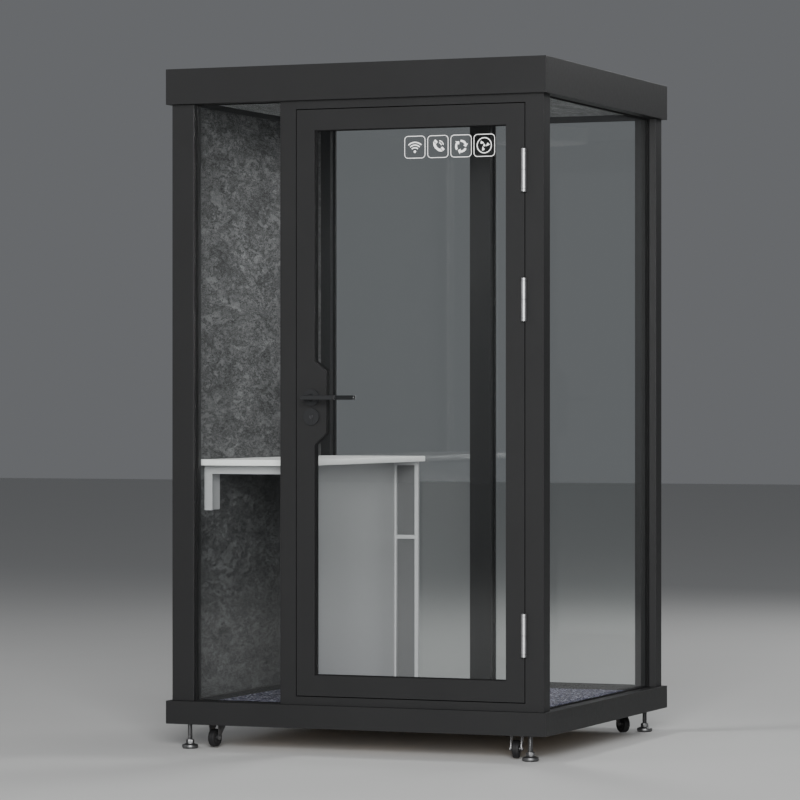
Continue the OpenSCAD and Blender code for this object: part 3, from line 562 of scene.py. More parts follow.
# a strip along a flat path with mitred corners; the profile runs inwards and along the normal
def sweepInto(work, path, normal, profile, closed=True):
    normal = Vector(normal)
    count = len(path)
    loops = []
    for i, point in enumerate(path):
        point = Vector(point)
        before = (point - Vector(path[i - 1])).normalized() if closed or i > 0 else None
        after = (Vector(path[(i + 1) % count]) - point).normalized() if closed or i < count - 1 else None
        before, after = before or after, after or before
        sideA, sideB = normal.cross(before), normal.cross(after)
        mitre = (sideA + sideB) / (1 + sideA.dot(sideB))
        loops.append([work.verts.new(point + mitre * a + normal * b) for a, b in profile])
    skinInto(work, loops + loops[:1] if closed else loops)
    if not closed:
        work.faces.new(loops[0])
        work.faces.new(loops[-1])


# a flat outline given a thickness
def plateInto(work, outline, offset):
    front = [work.verts.new(point) for point in outline]
    back = [work.verts.new(Vector(point) + Vector(offset)) for point in outline]
    work.faces.new(front)
    work.faces.new(back[::-1])
    for i in range(len(front)):
        j = (i + 1) % len(front)
        work.faces.new((front[i], back[i], back[j], front[j]))


def roundedOutline(halfW, halfH, radius, steps=6):
    points = []
    for quarter, (sx, sy) in enumerate(((1, 1), (-1, 1), (-1, -1), (1, -1))):
        for i in range(steps + 1):
            a = math.radians(90 * quarter + 90 * i / steps)
            points.append((sx * (halfW - radius) + radius * math.cos(a),
                           sy * (halfH - radius) + radius * math.sin(a)))
    return points


# a CAD node's own shape with its sharp edges rounded
def softened(nodeName, width, segments=3, shortest=0.012, material=None, flat=1.0, limit=40):
    work = cleanCopy(nodeName)
    return softenedWork(nodeName + "Piece", work, (nodeName,), width, segments, shortest, material, flat,
                        limit)


def softenedWork(name, work, nodeNames, width, segments=3, shortest=0.012, material=None, flat=1.0,
                 limit=40):
    bmesh.ops.dissolve_limit(work, angle_limit=math.radians(flat), verts=work.verts, edges=work.edges)
    edges = [edge for edge in work.edges
             if len(edge.link_faces) == 2 and edge.calc_length() > shortest
             and edge.calc_face_angle(0) > math.radians(limit)]
    bmesh.ops.bevel(work, geom=edges, offset=width, segments=segments, profile=0.5, affect="EDGES",
                    clamp_overlap=True)
    piece = weighted(toPiece(name, work))
    return settle(piece, bodyOf[nodeNames[0]], slotOf[nodeNames[0]], material, nodeNames)


# several touching nodes joined into one welded shape
def welded(name, nodeNames, width):
    def cleanObject(nodeName):
        mesh = bpy.data.meshes.new(nodeName + "Copy")
        work = cleanCopy(nodeName)
        work.to_mesh(mesh)
        work.free()
        return link(nodeName + "Copy", mesh)

    base = cleanObject(nodeNames[0])
    others = []
    for nodeName in nodeNames[1:]:
        other = cleanObject(nodeName)
        modifier = base.modifiers.new("weld", "BOOLEAN")
        modifier.operation = "UNION"
        modifier.solver = "EXACT"
        modifier.object = other
        others.append(other)
    evaluated(base)
    work = bmesh.new()
    work.from_mesh(base.data)
    bmesh.ops.remove_doubles(work, verts=work.verts, dist=mergeDistance)
    for extra in others + [base]:
        bpy.data.objects.remove(extra)
    return softenedWork(name, work, nodeNames, width)


# cuts a mesh by evenly spaced planes, with a few close to each edge
def gridCut(work, step, axes, rim=(0.0015, 0.005)):
    low = [min(vert.co[i] for vert in work.verts) for i in range(3)]
    high = [max(vert.co[i] for vert in work.verts) for i in range(3)]
    for axis in axes:
        count = max(1, round((high[axis] - low[axis]) / step))
        cuts = [low[axis] + (high[axis] - low[axis]) * i / count for i in range(1, count)]
        cuts += [low[axis] + r for r in rim] + [high[axis] - r for r in rim]
        direction = [0, 0, 0]
        direction[axis] = 1
        for cut in cuts:
            place = [0, 0, 0]
            place[axis] = cut
            bmesh.ops.bisect_plane(work, geom=work.verts[:] + work.edges[:] + work.faces[:], plane_co=place,
                                   plane_no=direction, dist=0.00001)
    return low, high


# Geometry Nodes: puts a small part on each point, turned to face its own way
def placingTree():
    tree = bpy.data.node_groups.new("placeParts", "GeometryNodeTree")
    for name, kind in (("Points", "NodeSocketGeometry"), ("Part", "NodeSocketObject"),
                       ("Size", "NodeSocketFloat"), ("Loose Turn", "NodeSocketFloat"),
                       ("Seed", "NodeSocketInt"), ("Material", "NodeSocketMaterial")):
        tree.interface.new_socket(name, in_out="INPUT", socket_type=kind)
    tree.interface.new_socket("Parts", in_out="OUTPUT", socket_type="NodeSocketGeometry")
    add, join = tree.nodes.new, tree.links.new
    given = add("NodeGroupInput")
    part = add("GeometryNodeObjectInfo")
    join(given.outputs["Part"], part.inputs["Object"])

    def attribute(name, kind):
        node = add("GeometryNodeInputNamedAttribute")
        node.data_type = kind
        node.inputs["Name"].default_value = name
        return node.outputs["Attribute"]

    align = add("FunctionNodeAlignRotationToVector")
    align.axis = "Z"
    join(attribute("facing", "FLOAT_VECTOR"), align.inputs["Vector"])
    stretch = add("ShaderNodeVectorMath")
    stretch.operation = "SCALE"
    join(attribute("stretch", "FLOAT_VECTOR"), stretch.inputs[0])
    join(given.outputs["Size"], stretch.inputs["Scale"])
    place = add("GeometryNodeInstanceOnPoints")
    join(given.outputs["Points"], place.inputs["Points"])
    join(part.outputs["Geometry"], place.inputs["Instance"])
    join(align.outputs["Rotation"], place.inputs["Rotation"])
    join(stretch.outputs["Vector"], place.inputs["Scale"])
    chance = add("FunctionNodeRandomValue")
    chance.data_type = "FLOAT"
    join(given.outputs["Loose Turn"], chance.inputs[3])
    join(given.outputs["Seed"], chance.inputs["Seed"])
    total = add("ShaderNodeMath")
    join(chance.outputs[1], total.inputs[0])
    join(attribute("spin", "FLOAT"), total.inputs[1])
    spin = add("ShaderNodeCombineXYZ")
    join(total.outputs[0], spin.inputs["Z"])
    turn = add("GeometryNodeRotateInstances")
    join(place.outputs["Instances"], turn.inputs["Instances"])
    join(spin.outputs["Vector"], turn.inputs["Rotation"])
    real = add("GeometryNodeRealizeInstances")
    join(turn.outputs["Instances"], real.inputs["Geometry"])
    paint = add("GeometryNodeSetMaterial")
    join(real.outputs["Geometry"], paint.inputs["Geometry"])
    join(given.outputs["Material"], paint.inputs["Material"])
    join(paint.outputs["Geometry"], add("NodeGroupOutput").inputs["Parts"])
    return tree


placeTree = placingTree()
placeInputs = {item.name: item.identifier for item in placeTree.interface.items_tree
               if item.in_out == "INPUT"}


# spots are (place, facing) or (place, facing, stretch, spin)
def placeParts(name, part, spots, body, slotName, size=1.0, loose=0.0, seed=1, material=None):
    mesh = bpy.data.meshes.new(name)
    mesh.from_pydata([spot[0] for spot in spots], [], [])
    values = {"facing": ("FLOAT_VECTOR", [spot[1] for spot in spots]),
              "stretch": ("FLOAT_VECTOR", [spot[2] if len(spot) > 2 else (1, 1, 1) for spot in spots]),
              "spin": ("FLOAT", [spot[3] if len(spot) > 3 else 0.0 for spot in spots])}
    for key, (kind, data) in values.items():
        attribute = mesh.attributes.new(key, kind, "POINT")
        for item, value in zip(attribute.data, data):
            if kind == "FLOAT":
                item.value = value
            else:
                item.vector = value
    piece = link(name, mesh)
    modifier = piece.modifiers.new("placeParts", "NODES")
    modifier.node_group = placeTree
    for key, value in (("Part", part), ("Size", size), ("Loose Turn", loose), ("Seed", seed),
                       ("Material", material or materials[slotName])):
        modifier[placeInputs[key]] = value
    evaluated(piece)
    return settle(piece, body, slotName, material)


def smallPart(name, build, sharp=35):
    work = bmesh.new()
    build(work)
    return toPiece(name, work, sharp)


# frame members
frameLook = {"postEdge": 0.0022, "boxEdge": 0.003, "doorEdge": 0.0015}
for nodeName in ("front_left_post", "back_posts", "back_mullion"):
    softened(nodeName, frameLook["postEdge"])
welded("doorway", ("front_mullion", "front_right_post", "door_head", "door_sill"), frameLook["doorEdge"])
welded("doorLeaf", ("lock_stile", "hinge_stile", "door_rails", "lock_block"), frameLook["doorEdge"])
for nodeName in ("base_frame", "roof_frame"):
    softened(nodeName, frameLook["boxEdge"])
for nodeName, width in (("wall_skin", 0.0006), ("floor_board", 0.001), ("wall_core", 0.002)):
    softened(nodeName, width)
print("frame members rounded")


# glass
glassLook = {"bite": 0.010, "arris": 0.0008, "beadW": 0.0034, "beadH": 0.0026}
softened("door_glass", glassLook["arris"], 2)
beadProfile = [(glassLook["beadW"] * a, glassLook["beadH"] * b) for a, b in
               ((0, 0), (1, 0), (0.92, 0.4), (0.62, 0.82), (0.25, 1), (0, 1))]


# rubber beads round both faces of a pane, inside its visible edge
def beadInto(work, low, high):
    thin = min(range(3), key=lambda i: high[i] - low[i])
    across = 1 - thin
    a0, a1 = low[across] + glassLook["bite"], high[across] - glassLook["bite"]
    z0, z1 = low[2] + glassLook["bite"], high[2] - glassLook["bite"]
    for level, side in ((low[thin], -1), (high[thin], 1)):
        corners = [(a0, z0), (a1, z0), (a1, z1), (a0, z1)]
        normal = Vector((0, 0, 0))
        normal[thin] = side
        path = []
        for a, z in corners:
            point = Vector((0, 0, z))
            point[across], point[thin] = a, level
            path.append(point)
        centre = (path[0] + path[2]) / 2
        if normal.cross(path[1] - path[0]).dot(centre - path[0]) < 0:
            path.reverse()
        sweepInto(work, path, normal, beadProfile)


def makeBeads():
    work = bmesh.new()
    for nodeName in ("front_glass", "right_glass", "back_glass"):
        for low, high in islandBoxes(nodeName):
            beadInto(work, low, high)
    settle(toPiece("glazingBeads", work, 50), "booth", "seal_rubber")


# the leaf's glass steps round the lock block, so its bead follows the block's face
def makeLeafBead():
    glassLow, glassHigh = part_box("door_glass")
    bite = glassLook["bite"]
    x0, x1 = glassLow.x + bite, glassHigh.x - bite
    z0, z1 = glassLow.z + bite, glassHigh.z - bite
    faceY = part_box("lock_block")[0].y
    face = [vert.co for vert in nodes["lock_block"].data.vertices if vert.co.y < faceY + 0.0002]
    blockX = max(co.x for co in face)
    outer = [co.z for co in face if co.x < x0 + 0.0005]
    inner = [co.z for co in face if co.x > blockX - 0.0005]
    outline = [(x0, z0), (x1, z0), (x1, z1), (x0, z1), (x0, max(outer)), (blockX, max(inner)),
               (blockX, min(inner)), (x0, min(outer))]
    work = bmesh.new()
    for level, side in ((glassLow.y, -1), (glassHigh.y, 1)):
        path = [Vector((x, level, z)) for x, z in outline]
        if side > 0:
            path.reverse()
        sweepInto(work, path, (0, side, 0), beadProfile)
    settle(toPiece("leafBead", work, 50), "door", "seal_rubber")


# bulb seal round the rebate that the leaf closes against
sealLook = {"width": 0.011, "lip": 0.0004}


def makeDoorSeal():
    low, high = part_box("door_seal")
    work = bmesh.new()
    depth = high.y - low.y - sealLook["lip"]
    width = sealLook["width"]
    profile = [(0, 0), (0, depth * 0.5)]
    profile += [(width * 0.5 - width * 0.5 * math.cos(a), depth * (0.5 + 0.5 * math.sin(a)))
                for a in (math.pi * i / 10 for i in range(1, 10))]
    profile += [(width, depth * 0.5), (width, 0)]
    path = [Vector((x, high.y, z)) for x, z in
            ((low.x, low.z), (high.x, low.z), (high.x, high.z), (low.x, high.z))]
    sweepInto(work, path, (0, -1, 0), profile)
    settle(toPiece("doorSeal", work, 50), "booth", "seal_rubber", replaced=("door_seal",))


makeBeads()
makeLeafBead()
makeDoorSeal()
print("glass and seals made")


# soft linings
liningLook = {"feltStep": 0.016, "feltSink": 0.0009, "carpetStep": 0.014, "carpetSink": 0.0012,
              "rim": 0.0014}


# the lined face is cut into a grid and sinks a little at random, and more at its rim
def lining(nodeName, axis, side, step, sink):
    work = cleanCopy(nodeName)
    bmesh.ops.dissolve_limit(work, angle_limit=math.radians(1), verts=work.verts, edges=work.edges)
    axes = [i for i in range(3) if i != axis]
    low, high = gridCut(work, step, axes)
    level = high[axis] if side > 0 else low[axis]
    for vert in work.verts:
        if abs(vert.co[axis] - level) > 0.0002:
            continue
        edge = min(min(vert.co[i] - low[i], high[i] - vert.co[i]) for i in axes)
        wide, fine = noise.noise(vert.co * 19.0), noise.noise(vert.co * 61.0)
        down = sink * (0.5 + 0.5 * wide) + sink * 0.6 * abs(fine)
        if edge < 0.0002:
            down += liningLook["rim"]
        elif edge < 0.002:
            down += liningLook["rim"] * 0.35
        vert.co[axis] -= side * down
    piece = toPiece(nodeName + "Lining", work, 60)
    return settle(piece, bodyOf[nodeName], slotOf[nodeName], replaced=(nodeName,))


lining("wall_felt", 0, 1, liningLook["feltStep"], liningLook["feltSink"])
lining("ceiling_panel", 2, -1, liningLook["feltStep"], liningLook["feltSink"])
lining("carpet", 2, 1, liningLook["carpetStep"], liningLook["carpetSink"])
print("felt and carpet made")


# ceiling lamp
lampLook = {"edge": 0.003, "dome": 0.0035, "lip": 0.0012, "glow": 14.0}


def makeLamp():
    low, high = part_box("lamp_housing")
    centre = baseOf(low, high)
    radius, height = (high.x - low.x) / 2, high.z - low.z
    edge, inner = lampLook["edge"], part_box("lamp_diffuser")[1].x - centre.x
    wall = radius - inner
    work = bmesh.new()
    profile = [(inner + 0.0002, 0.0005), (inner + wall * 0.3, 0)]
    profile += [(radius - edge + edge * math.sin(a), edge - edge * math.cos(a))
                for a in (math.radians(90) * i / 5 for i in range(6))]
    groove = radius - 0.0015
    profile += [(radius, height - 0.008), (groove, height - 0.007), (groove, height - 0.002),
                (radius, height - 0.001), (radius, height), (0, height), (0, height - wall),
                (inner + 0.0002, height - wall)]
    latheInto(work, profile, placeOf(centre), 128)
    bridgeRims(work)
    settle(toPiece("lampHousing", work, 40), "booth", "lamp_white", replaced=("lamp_housing",))
    work = bmesh.new()
    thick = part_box("lamp_diffuser")[1].z - low.z
    rim = inner - 0.0002
    profile = [(0, thick), (rim, thick), (rim, lampLook["lip"])]
    profile += [(rim * math.cos(a), lampLook["lip"] - (lampLook["dome"] + lampLook["lip"]) * math.sin(a))
                for a in (math.radians(90) * i / 16 for i in range(1, 16))]
    profile += [(0, -lampLook["dome"])]
    latheInto(work, profile, placeOf(centre), 128)
    settle(toPiece("lampDiffuser", work, 40), "booth", "lamp_light", replaced=("lamp_diffuser",))
    # the lamp's own light, which lights the cabin but is not seen itself
    light = bpy.data.lights.new("lampGlow", "AREA")
    light.shape = "DISK"
    light.size = 2 * rim
    light.energy = lampLook["glow"]
    glow = bpy.data.objects.new("lampGlow", light)
    glow.visible_camera = glow.visible_glossy = glow.visible_transmission = False
    glow.location = centre - Vector((0, 0, lampLook["dome"] + 0.006))
    scene.collection.objects.link(glow)


makeLamp()
print("lamp made")


# fan over the ceiling, and the louvres in the roof cover above it
fanLook = {"blades": 7, "hubR": 0.024, "boreR": 0.00256, "rootLean": 52, "tipLean": 30, "halfSheet": 0.0007,
           "slotPitch": 0.015, "slotW": 0.007, "slots": 9, "slotR": 0.074, "louvreH": 0.0038,
           "louvreSheet": 0.0009, "screwInset": 0.007}


def makeFan():
    low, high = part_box("fan_housing")
    centre = baseOf(low, high)
    softened("fan_housing", 0.0016, 2, 0.003)
    bladeLow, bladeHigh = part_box("fan_impeller")
    radius, height = (bladeHigh.x - bladeLow.x) / 2, bladeHigh.z - bladeLow.z
    hubR, boreR = fanLook["hubR"], fanLook["boreR"]
    rootLean, tipLean, sheet = fanLook["rootLean"], fanLook["tipLean"], fanLook["halfSheet"]

    def blade(work):
        rows = []
        for i in range(9):
            t = i / 8
            r = hubR - 0.001 + (radius - hubR) * t
            half = 0.014 + 0.004 * t
            lean = math.radians(rootLean - (rootLean - tipLean) * t)
            row = []
            for k in range(7):
                s = (k / 6 - 0.5) * 2
                chord = s * half
                camber = 0.0022 * (1 - s * s)
                y = chord * math.cos(lean) - camber * math.sin(lean) + 0.006 * t * t
                z = chord * math.sin(lean) + camber * math.cos(lean)
                z = max(-height / 2 + 0.0006, min(height / 2 - 0.0006, z))
                row.append((r * math.cos(y / r), r * math.sin(y / r), z))
            rows.append(row)
        for shift in (sheet, -sheet):
            grid = [[work.verts.new((x, y, z + shift)) for x, y, z in row] for row in rows]
            for a, b in zip(grid, grid[1:]):
                for k in range(6):
                    work.faces.new((a[k], a[k + 1], b[k + 1], b[k]))
        bridgeRims(work)

    part = smallPart("fanBlade", blade)
    hub = bmesh.new()
    latheInto(hub, [(boreR, 0), (hubR - 0.002, 0), (hubR, 0.002), (hubR, height - 0.003),
                    (hubR - 0.001, height - 0.001), (hubR - 0.003, height), (0.012, height),
                    (0.011, height - 0.001), (boreR, height - 0.001)],
              placeOf(Vector((centre.x, centre.y, bladeLow.z))), 48, closed=True)
    settle(toPiece("fanHub", hub, 40), "fan", "black_plastic", replaced=("fan_impeller",))
    middle = Vector((centre.x, centre.y, bladeLow.z + height / 2))
    placeParts("fanBlades", part, [(middle, (0, 0, 1), (1, 1, 1), 2 * math.pi * i / fanLook["blades"])
                                   for i in range(fanLook["blades"])], "fan", "black_plastic")
    bpy.data.objects.remove(part)
    inset = fanLook["screwInset"]
    corners = [Vector((x, y, high.z)) for x in (low.x + inset, high.x - inset)
               for y in (low.y + inset, high.y - inset)]
    return centre, corners


def makeLouvres(centre):
    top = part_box("roof_cover")[1].z
    w, h, t = fanLook["slotW"], fanLook["louvreH"], fanLook["louvreSheet"]
    section = ((-w * 0.95, 0), (-w * 0.7, h * 0.45), (-w * 0.2, h * 0.85), (w * 0.35, h), (w * 0.35, h - t),
               (-w * 0.15, h * 0.85 - t), (-w * 0.6, h * 0.45 - t), (-w * 0.8, 0))

    def hood(work):
        rows = []
        for i in range(13):
            s = i / 12 * 2 - 1
            fade = 1 - abs(s) ** 6
            rows.append([(s * 0.5, y, z * fade) for y, z in section])
        grid = [[work.verts.new(point) for point in row] for row in rows]
        skinInto(work, grid)
        work.faces.new(grid[0])
        work.faces.new(grid[-1])

    part = smallPart("louvreHood", hood, 60)
    spots = []
    for i in range(fanLook["slots"]):
        dy = (i - (fanLook["slots"] - 1) / 2) * fanLook["slotPitch"]
        span = 2 * math.sqrt(fanLook["slotR"] ** 2 - dy ** 2)
        spots.append((Vector((centre.x, centre.y + dy, top)), (0, 0, 1), (span, 1, 1)))
    placeParts("roofLouvres", part, spots, "booth", "cover_paint")
    bpy.data.objects.remove(part)


fanCentre, fanCorners = makeFan()
softened("roof_cover", 0.0008, 2)
makeLouvres(fanCentre)
print("fan and louvres made")


# desk
deskLook = {"edge": 0.0014, "bandT": 0.0006, "bandRound": 0.002, "steelEdge": 0.0009,
            "tube": 0.014, "infill": 0.005, "railDrop": 0.283}


def makeDesk():
    softened("desk_top", deskLook["edge"])
    softened("desk_support", deskLook["edge"])
    softened("desk_bracket", deskLook["steelEdge"])
    low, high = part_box("desk_top")
    height, band, r = high.z - low.z, deskLook["bandT"], deskLook["bandRound"]
    profile = [(0, 0.0002), (-band, r), (-band, height - r), (0, height - 0.0002), (0.0004, height - 0.0002),
               (0.0004, 0.0002)]
    work = bmesh.new()
    path = [Vector((x, y, low.z)) for x, y in ((low.x + 0.001, low.y), (high.x, low.y), (high.x, high.y))]
    sweepInto(work, path, (0, 0, 1), profile, closed=False)
    settle(toPiece("deskEdging", work, 25), "booth", "desk_white", materials["edge_band"])
    # dark sheets in the two bays of the end frame: painted shade of the recess under the desk top
    frameLow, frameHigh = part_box("desk_support")
    tube, infill, railDrop = deskLook["tube"], deskLook["infill"], deskLook["railDrop"]
    panelX = max(vert.co.x for vert in nodes["desk_support"].data.vertices if vert.co.y < frameLow.y + 0.001)
    face = frameHigh.y - infill
    work = bmesh.new()
    railZ = frameHigh.z - railDrop
    for z0, z1 in ((frameLow.z + 0.0005, railZ), (railZ + tube, frameHigh.z - tube)):
        roundBoxInto(work, (panelX + tube / 2 + 0.0003, face - 0.0007, z0 + 0.0003),
                     (frameHigh.x - tube - 0.0003, face + 0.001, z1 - 0.0003), 0.0002, 1)
    settle(toPiece("endSheets", work, 25), "booth", "desk_grey", materials["recess_shade_sheet"])


makeDesk()
print("desk made")


# switch on the mullion's inner face, with two charging sockets
switchLook = {"edge": 0.0022, "tongueW": 0.008, "tongueH": 0.0018}


def makeSwitch():
    softened("switch_plate", switchLook["edge"], 4, 0.02)
    softened("switch_rocker", 0.0009, 3, 0.006)
    low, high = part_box("switch_plate")
    midX = (low.x + high.x) / 2
    work = bmesh.new()
    for sx in (-1, 1):
        centre = Vector((midX + sx * 0.012, low.y + 0.008, (low.z + high.z) / 2 - 0.023))
        w, h = switchLook["tongueW"] / 2, switchLook["tongueH"] / 2
        roundBoxInto(work, centre - Vector((w, 0.0042, h)), centre + Vector((w, 0.004, h)), 0.0004, 2)
    settle(toPiece("socketTongues", work), "booth", "black_plastic")
    return midX, low, high


switchX, switchLow, switchHigh = makeSwitch()
print("switch made")


# mains inlet on the back of the base
inletLook = {"edge": 0.0012, "pinHalf": 0.0011, "pinRound": 0.0004, "screwAside": 0.022}


def makeInlet():
    softened("power_inlet", inletLook["edge"], 3, 0.007, limit=60)
    low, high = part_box("power_inlet")
    midX, midZ = (low.x + high.x) / 2, (low.z + high.z) / 2
    work = bmesh.new()
    for dx, lift in ((-0.007, -0.004), (0, 0.001), (0.007, -0.004)):
        half, pinZ = inletLook["pinHalf"], midZ + lift
        roundBoxInto(work, (midX + dx - half, high.y - 0.0192, pinZ - 0.0001),
                     (midX + dx + half, high.y - 0.0038, pinZ + 0.0041), inletLook["pinRound"], 2)
    settle(toPiece("inletPins", work), "booth", "satin_steel")
    return [Vector((midX + s * inletLook["screwAside"], high.y, midZ)) for s in (-1, 1)]


inletScrews = makeInlet()
print("inlet made")


# hinges
hingeLook = {"chamfer": 0.0012, "crown": 0.0006, "cap": 0.011, "groove": 0.0006, "leafRound": 0.0035,
             "boreR": 0.00506, "boreDepth": 0.0105, "gap": 0.0003, "screwInset": 0.010}


def makeHinges():
    boxes = islandBoxes("frame_hinge_leaves")
    uppers = islandBoxes("door_hinge_leaves")
    axis = Vector(jointOf["door_swing"]["pos_m"])
    screws = {"booth": [], "door": []}
    c, g, cap = hingeLook["chamfer"], hingeLook["groove"], hingeLook["cap"]
    crown, boreR, r = hingeLook["crown"], hingeLook["boreR"], hingeLook["leafRound"]
    for nodeName, body, items in (("frame_hinge_leaves", "booth", boxes),
                                  ("door_hinge_leaves", "door", uppers)):
        work = bmesh.new()
        for low, high in items:
            radius = axis.y - low.y
            barrelTop = high.z
            if body == "booth":
                above = [up[0].z for up in uppers if low.z + 0.03 < up[0].z < low.z + 0.12]
                barrelTop = above[0] - hingeLook["gap"]
            height = barrelTop - low.z
            if body == "booth":
                profile = [(0, 0), (radius * 0.55, 0), (radius - c, crown), (radius, c + crown),
                           (radius, cap - g), (radius - g, cap), (radius, cap + g), (radius, height - g),
                           (radius - g, height), (0, height)]
            else:
                bore = height - hingeLook["boreDepth"]
                profile = [(boreR, 0), (radius - g, 0), (radius, g), (radius, height - cap - g),
                           (radius - g, height - cap), (radius, height - cap + g),
                           (radius, height - c - crown), (radius - c, height - crown),
                           (radius * 0.55, height), (0, height), (0, bore), (boreR, bore)]
            latheInto(work, profile, placeOf(Vector((axis.x, axis.y, low.z))), 48)
            if body == "door":
                bridgeRims(work)
            leaf = [vert.co for vert in nodes[nodeName].data.vertices
                    if low.z - 0.0001 <= vert.co.z <= high.z + 0.0001
                    and vert.co.y > axis.y + radius + 0.001]
            x0, x1 = min(co.x for co in leaf), max(co.x for co in leaf)
            y1 = max(co.y for co in leaf)
            z0, z1 = low.z, barrelTop
            part = bmesh.new()
            outline = [(axis.y + 0.006, z0), (y1 - r, z0)]
            outline += [(y1 - r + r * math.sin(a), z0 + r - r * math.cos(a)) for a in
                        (math.radians(18 * i) for i in range(1, 6))]
            outline += [(y1 - r + r * math.cos(a), z1 - r + r * math.sin(a)) for a in
                        (math.radians(18 * i) for i in range(0, 6))]
            outline += [(axis.y + 0.006, z1)]
            plateInto(part, [(x0, y, z) for y, z in outline], (x1 - x0, 0, 0))
            mergeInto(work, part)
            side = 1 if body == "door" else -1
            for share in (0.2, 0.5, 0.8):
                spot = Vector((x1 if side > 0 else x0, y1 - hingeLook["screwInset"], z0 + (z1 - z0) * share))
                screws[body].append((spot, (side, 0, 0)))
        settle(toPiece(nodeName + "Piece", work, 30), body, "satin_steel", replaced=(nodeName,))
    return screws


hingeScrews = makeHinges()
print("hinges made")


# lock and levers
lockLook = {"barRound": 0.0024, "collarR": 0.0125, "collarL": 0.006, "neckR": 0.009, "spindleHalf": 0.004}
for nodeName, *rounding in (("strike_plate", 0.0004, 2, 0.004), ("lock_case", 0.0005, 2, 0.01),
                            ("latch_bolt", 0.0006, 2, 0.002), ("dead_bolt", 0.0008, 2, 0.002),
                            ("lock_cylinder", 0.0006, 2, 0.0, materials["handle_dark"], 0.2, 60),
                            ("key_plug", 0.0005, 2, 0.0, materials["dark_steel"], 0.2, 60),
                            ("door_roses", 0.0013, 3, 0.0, None, 0.2, 60)):
    softened(nodeName, *rounding)


def makeLever(nodeName, name):
    low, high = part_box(nodeName)
    axis = Vector(jointOf["lever_turn"]["pos_m"])
    rose0, rose1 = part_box("door_roses")
    outside = abs(low.y - axis.y) > abs(high.y - axis.y)
    tip = low.y if outside else high.y
    way = -1 if outside else 1
    roseFace = rose0.y if outside else rose1.y
    neck = lockLook["neckR"]
    face = [vert.co for vert in nodes[nodeName].data.vertices if abs(vert.co.y - tip) < 0.0002]
    barZ = max(co.z for co in face if co.x > axis.x + 2 * neck) - axis.z
    root = abs(roseFace - axis.y)
    reach = abs(tip - axis.y)
    work = bmesh.new()
    col, colL = lockLook["collarR"], lockLook["collarL"]
    barBack = reach - 2 * barZ + 0.001
    profile = [(0, root - 0.012), (neck, root - 0.012), (neck, root + 0.0006), (col, root + 0.0006),
               (col - 0.0012, root + colL * 0.55), (neck + 0.0015, root + colL * 0.8), (neck, root + colL),
               (neck, barBack), (0, barBack)]
    latheInto(work, profile, placeOf(axis, (0, way, 0)), 48)
    y0, y1 = sorted((tip, tip - way * 2 * barZ))
    roundBoxInto(work, (axis.x - neck, y0, axis.z - barZ), (high.x, y1, axis.z + barZ),
                 lockLook["barRound"], 4)
    if not outside:
        half = lockLook["spindleHalf"]
        roundBoxInto(work, (axis.x - half, low.y, axis.z - half),
                     (axis.x + half, axis.y + root - 0.011, axis.z + half), 0.0004, 2)
    settle(weighted(toPiece(name, work, 40)), "lever", "handle_dark", replaced=(nodeName,))


makeLever("outer_lever", "outerLever")
makeLever("inner_lever", "innerLever")
print("lock and levers made")


# levelling feet: pad, rubber sole, hexagon nut and threaded stem
footLook = {"pitch": 0.0025, "depth": 0.0009, "padR": 0.0275, "padH": 0.017, "nutCorner": 0.014,
            "nutH": 0.013, "stemR": 0.008, "sole": 0.0025}


def threadInto(work, centre, radius, depth, pitch, z0, z1, steps=28):
    rows = max(2, round((z1 - z0) / (pitch / 4)))
    grid = []
    for i in range(rows + 1):
        z = z0 + (z1 - z0) * i / rows
        row = []
        for k in range(steps):
            turn = (z / pitch - k / steps) % 1.0
            r = radius - depth * abs(2 * turn - 1)
            a = 2 * math.pi * k / steps
            row.append(work.verts.new((centre.x + r * math.cos(a), centre.y + r * math.sin(a), z)))
        grid.append(row)
    skinInto(work, grid)
    work.faces.new(grid[0][::-1])
    work.faces.new(grid[-1])


# a hexagon with its corners chamfered, as on a nut or a bolt head
def hexInto(work, place, corner, height):
    part = bmesh.new()
    rows = []
    for z, grow in ((0, 0.94), (height * 0.1, 1.0), (height * 0.88, 1.0), (height, 0.92)):
        row = []
        for k in range(24):
            a = 2 * math.pi * k / 24
            side = (a + math.pi / 6) % (math.pi / 3) - math.pi / 6
            r = corner * math.cos(math.pi / 6) / math.cos(side)
            r = min(r, corner * grow) if grow < 1 else r
            row.append(part.verts.new((r * math.cos(a), r * math.sin(a), z)))
        rows.append(row)
    skinInto(part, rows)
    part.faces.new(rows[0][::-1])
    part.faces.new(rows[-1])
    mergeInto(work, part, place)


def makeFoot(corner):
    nodeName = "foot_" + corner
    low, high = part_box(nodeName)
    centre = baseOf(low, high)
    r, h = footLook["padR"], footLook["padH"]
    sole = footLook["sole"]
    work = bmesh.new()
    pad = [(0, sole), (r - 0.0018, sole), (r - 0.0004, sole + 0.0006), (r, sole + 0.0018), (r, h - 0.0062),
           (r - 0.0005, h - 0.0048), (r - 0.0016, h - 0.0038), (0.0165, h - 0.0004), (0.0155, h), (0, h)]
    latheInto(work, pad, placeOf(centre), 64)
    hexInto(work, placeOf(centre + Vector((0, 0, h))), footLook["nutCorner"], footLook["nutH"])
    threadInto(work, centre, footLook["stemR"], footLook["depth"], footLook["pitch"],
               centre.z + h + 0.002, high.z)
    settle(toPiece("levellingFoot." + corner, work, 40), nodeName, "foot_steel", replaced=(nodeName,))
    work = bmesh.new()
    top = sole + 0.0002
    latheInto(work, [(0, 0), (r - 0.004, 0), (r - 0.003, 0.0006), (r - 0.0026, top), (0, top)],
              placeOf(centre), 64)
    settle(toPiece("footSole." + corner, work, 40), nodeName, "wheel_rubber")


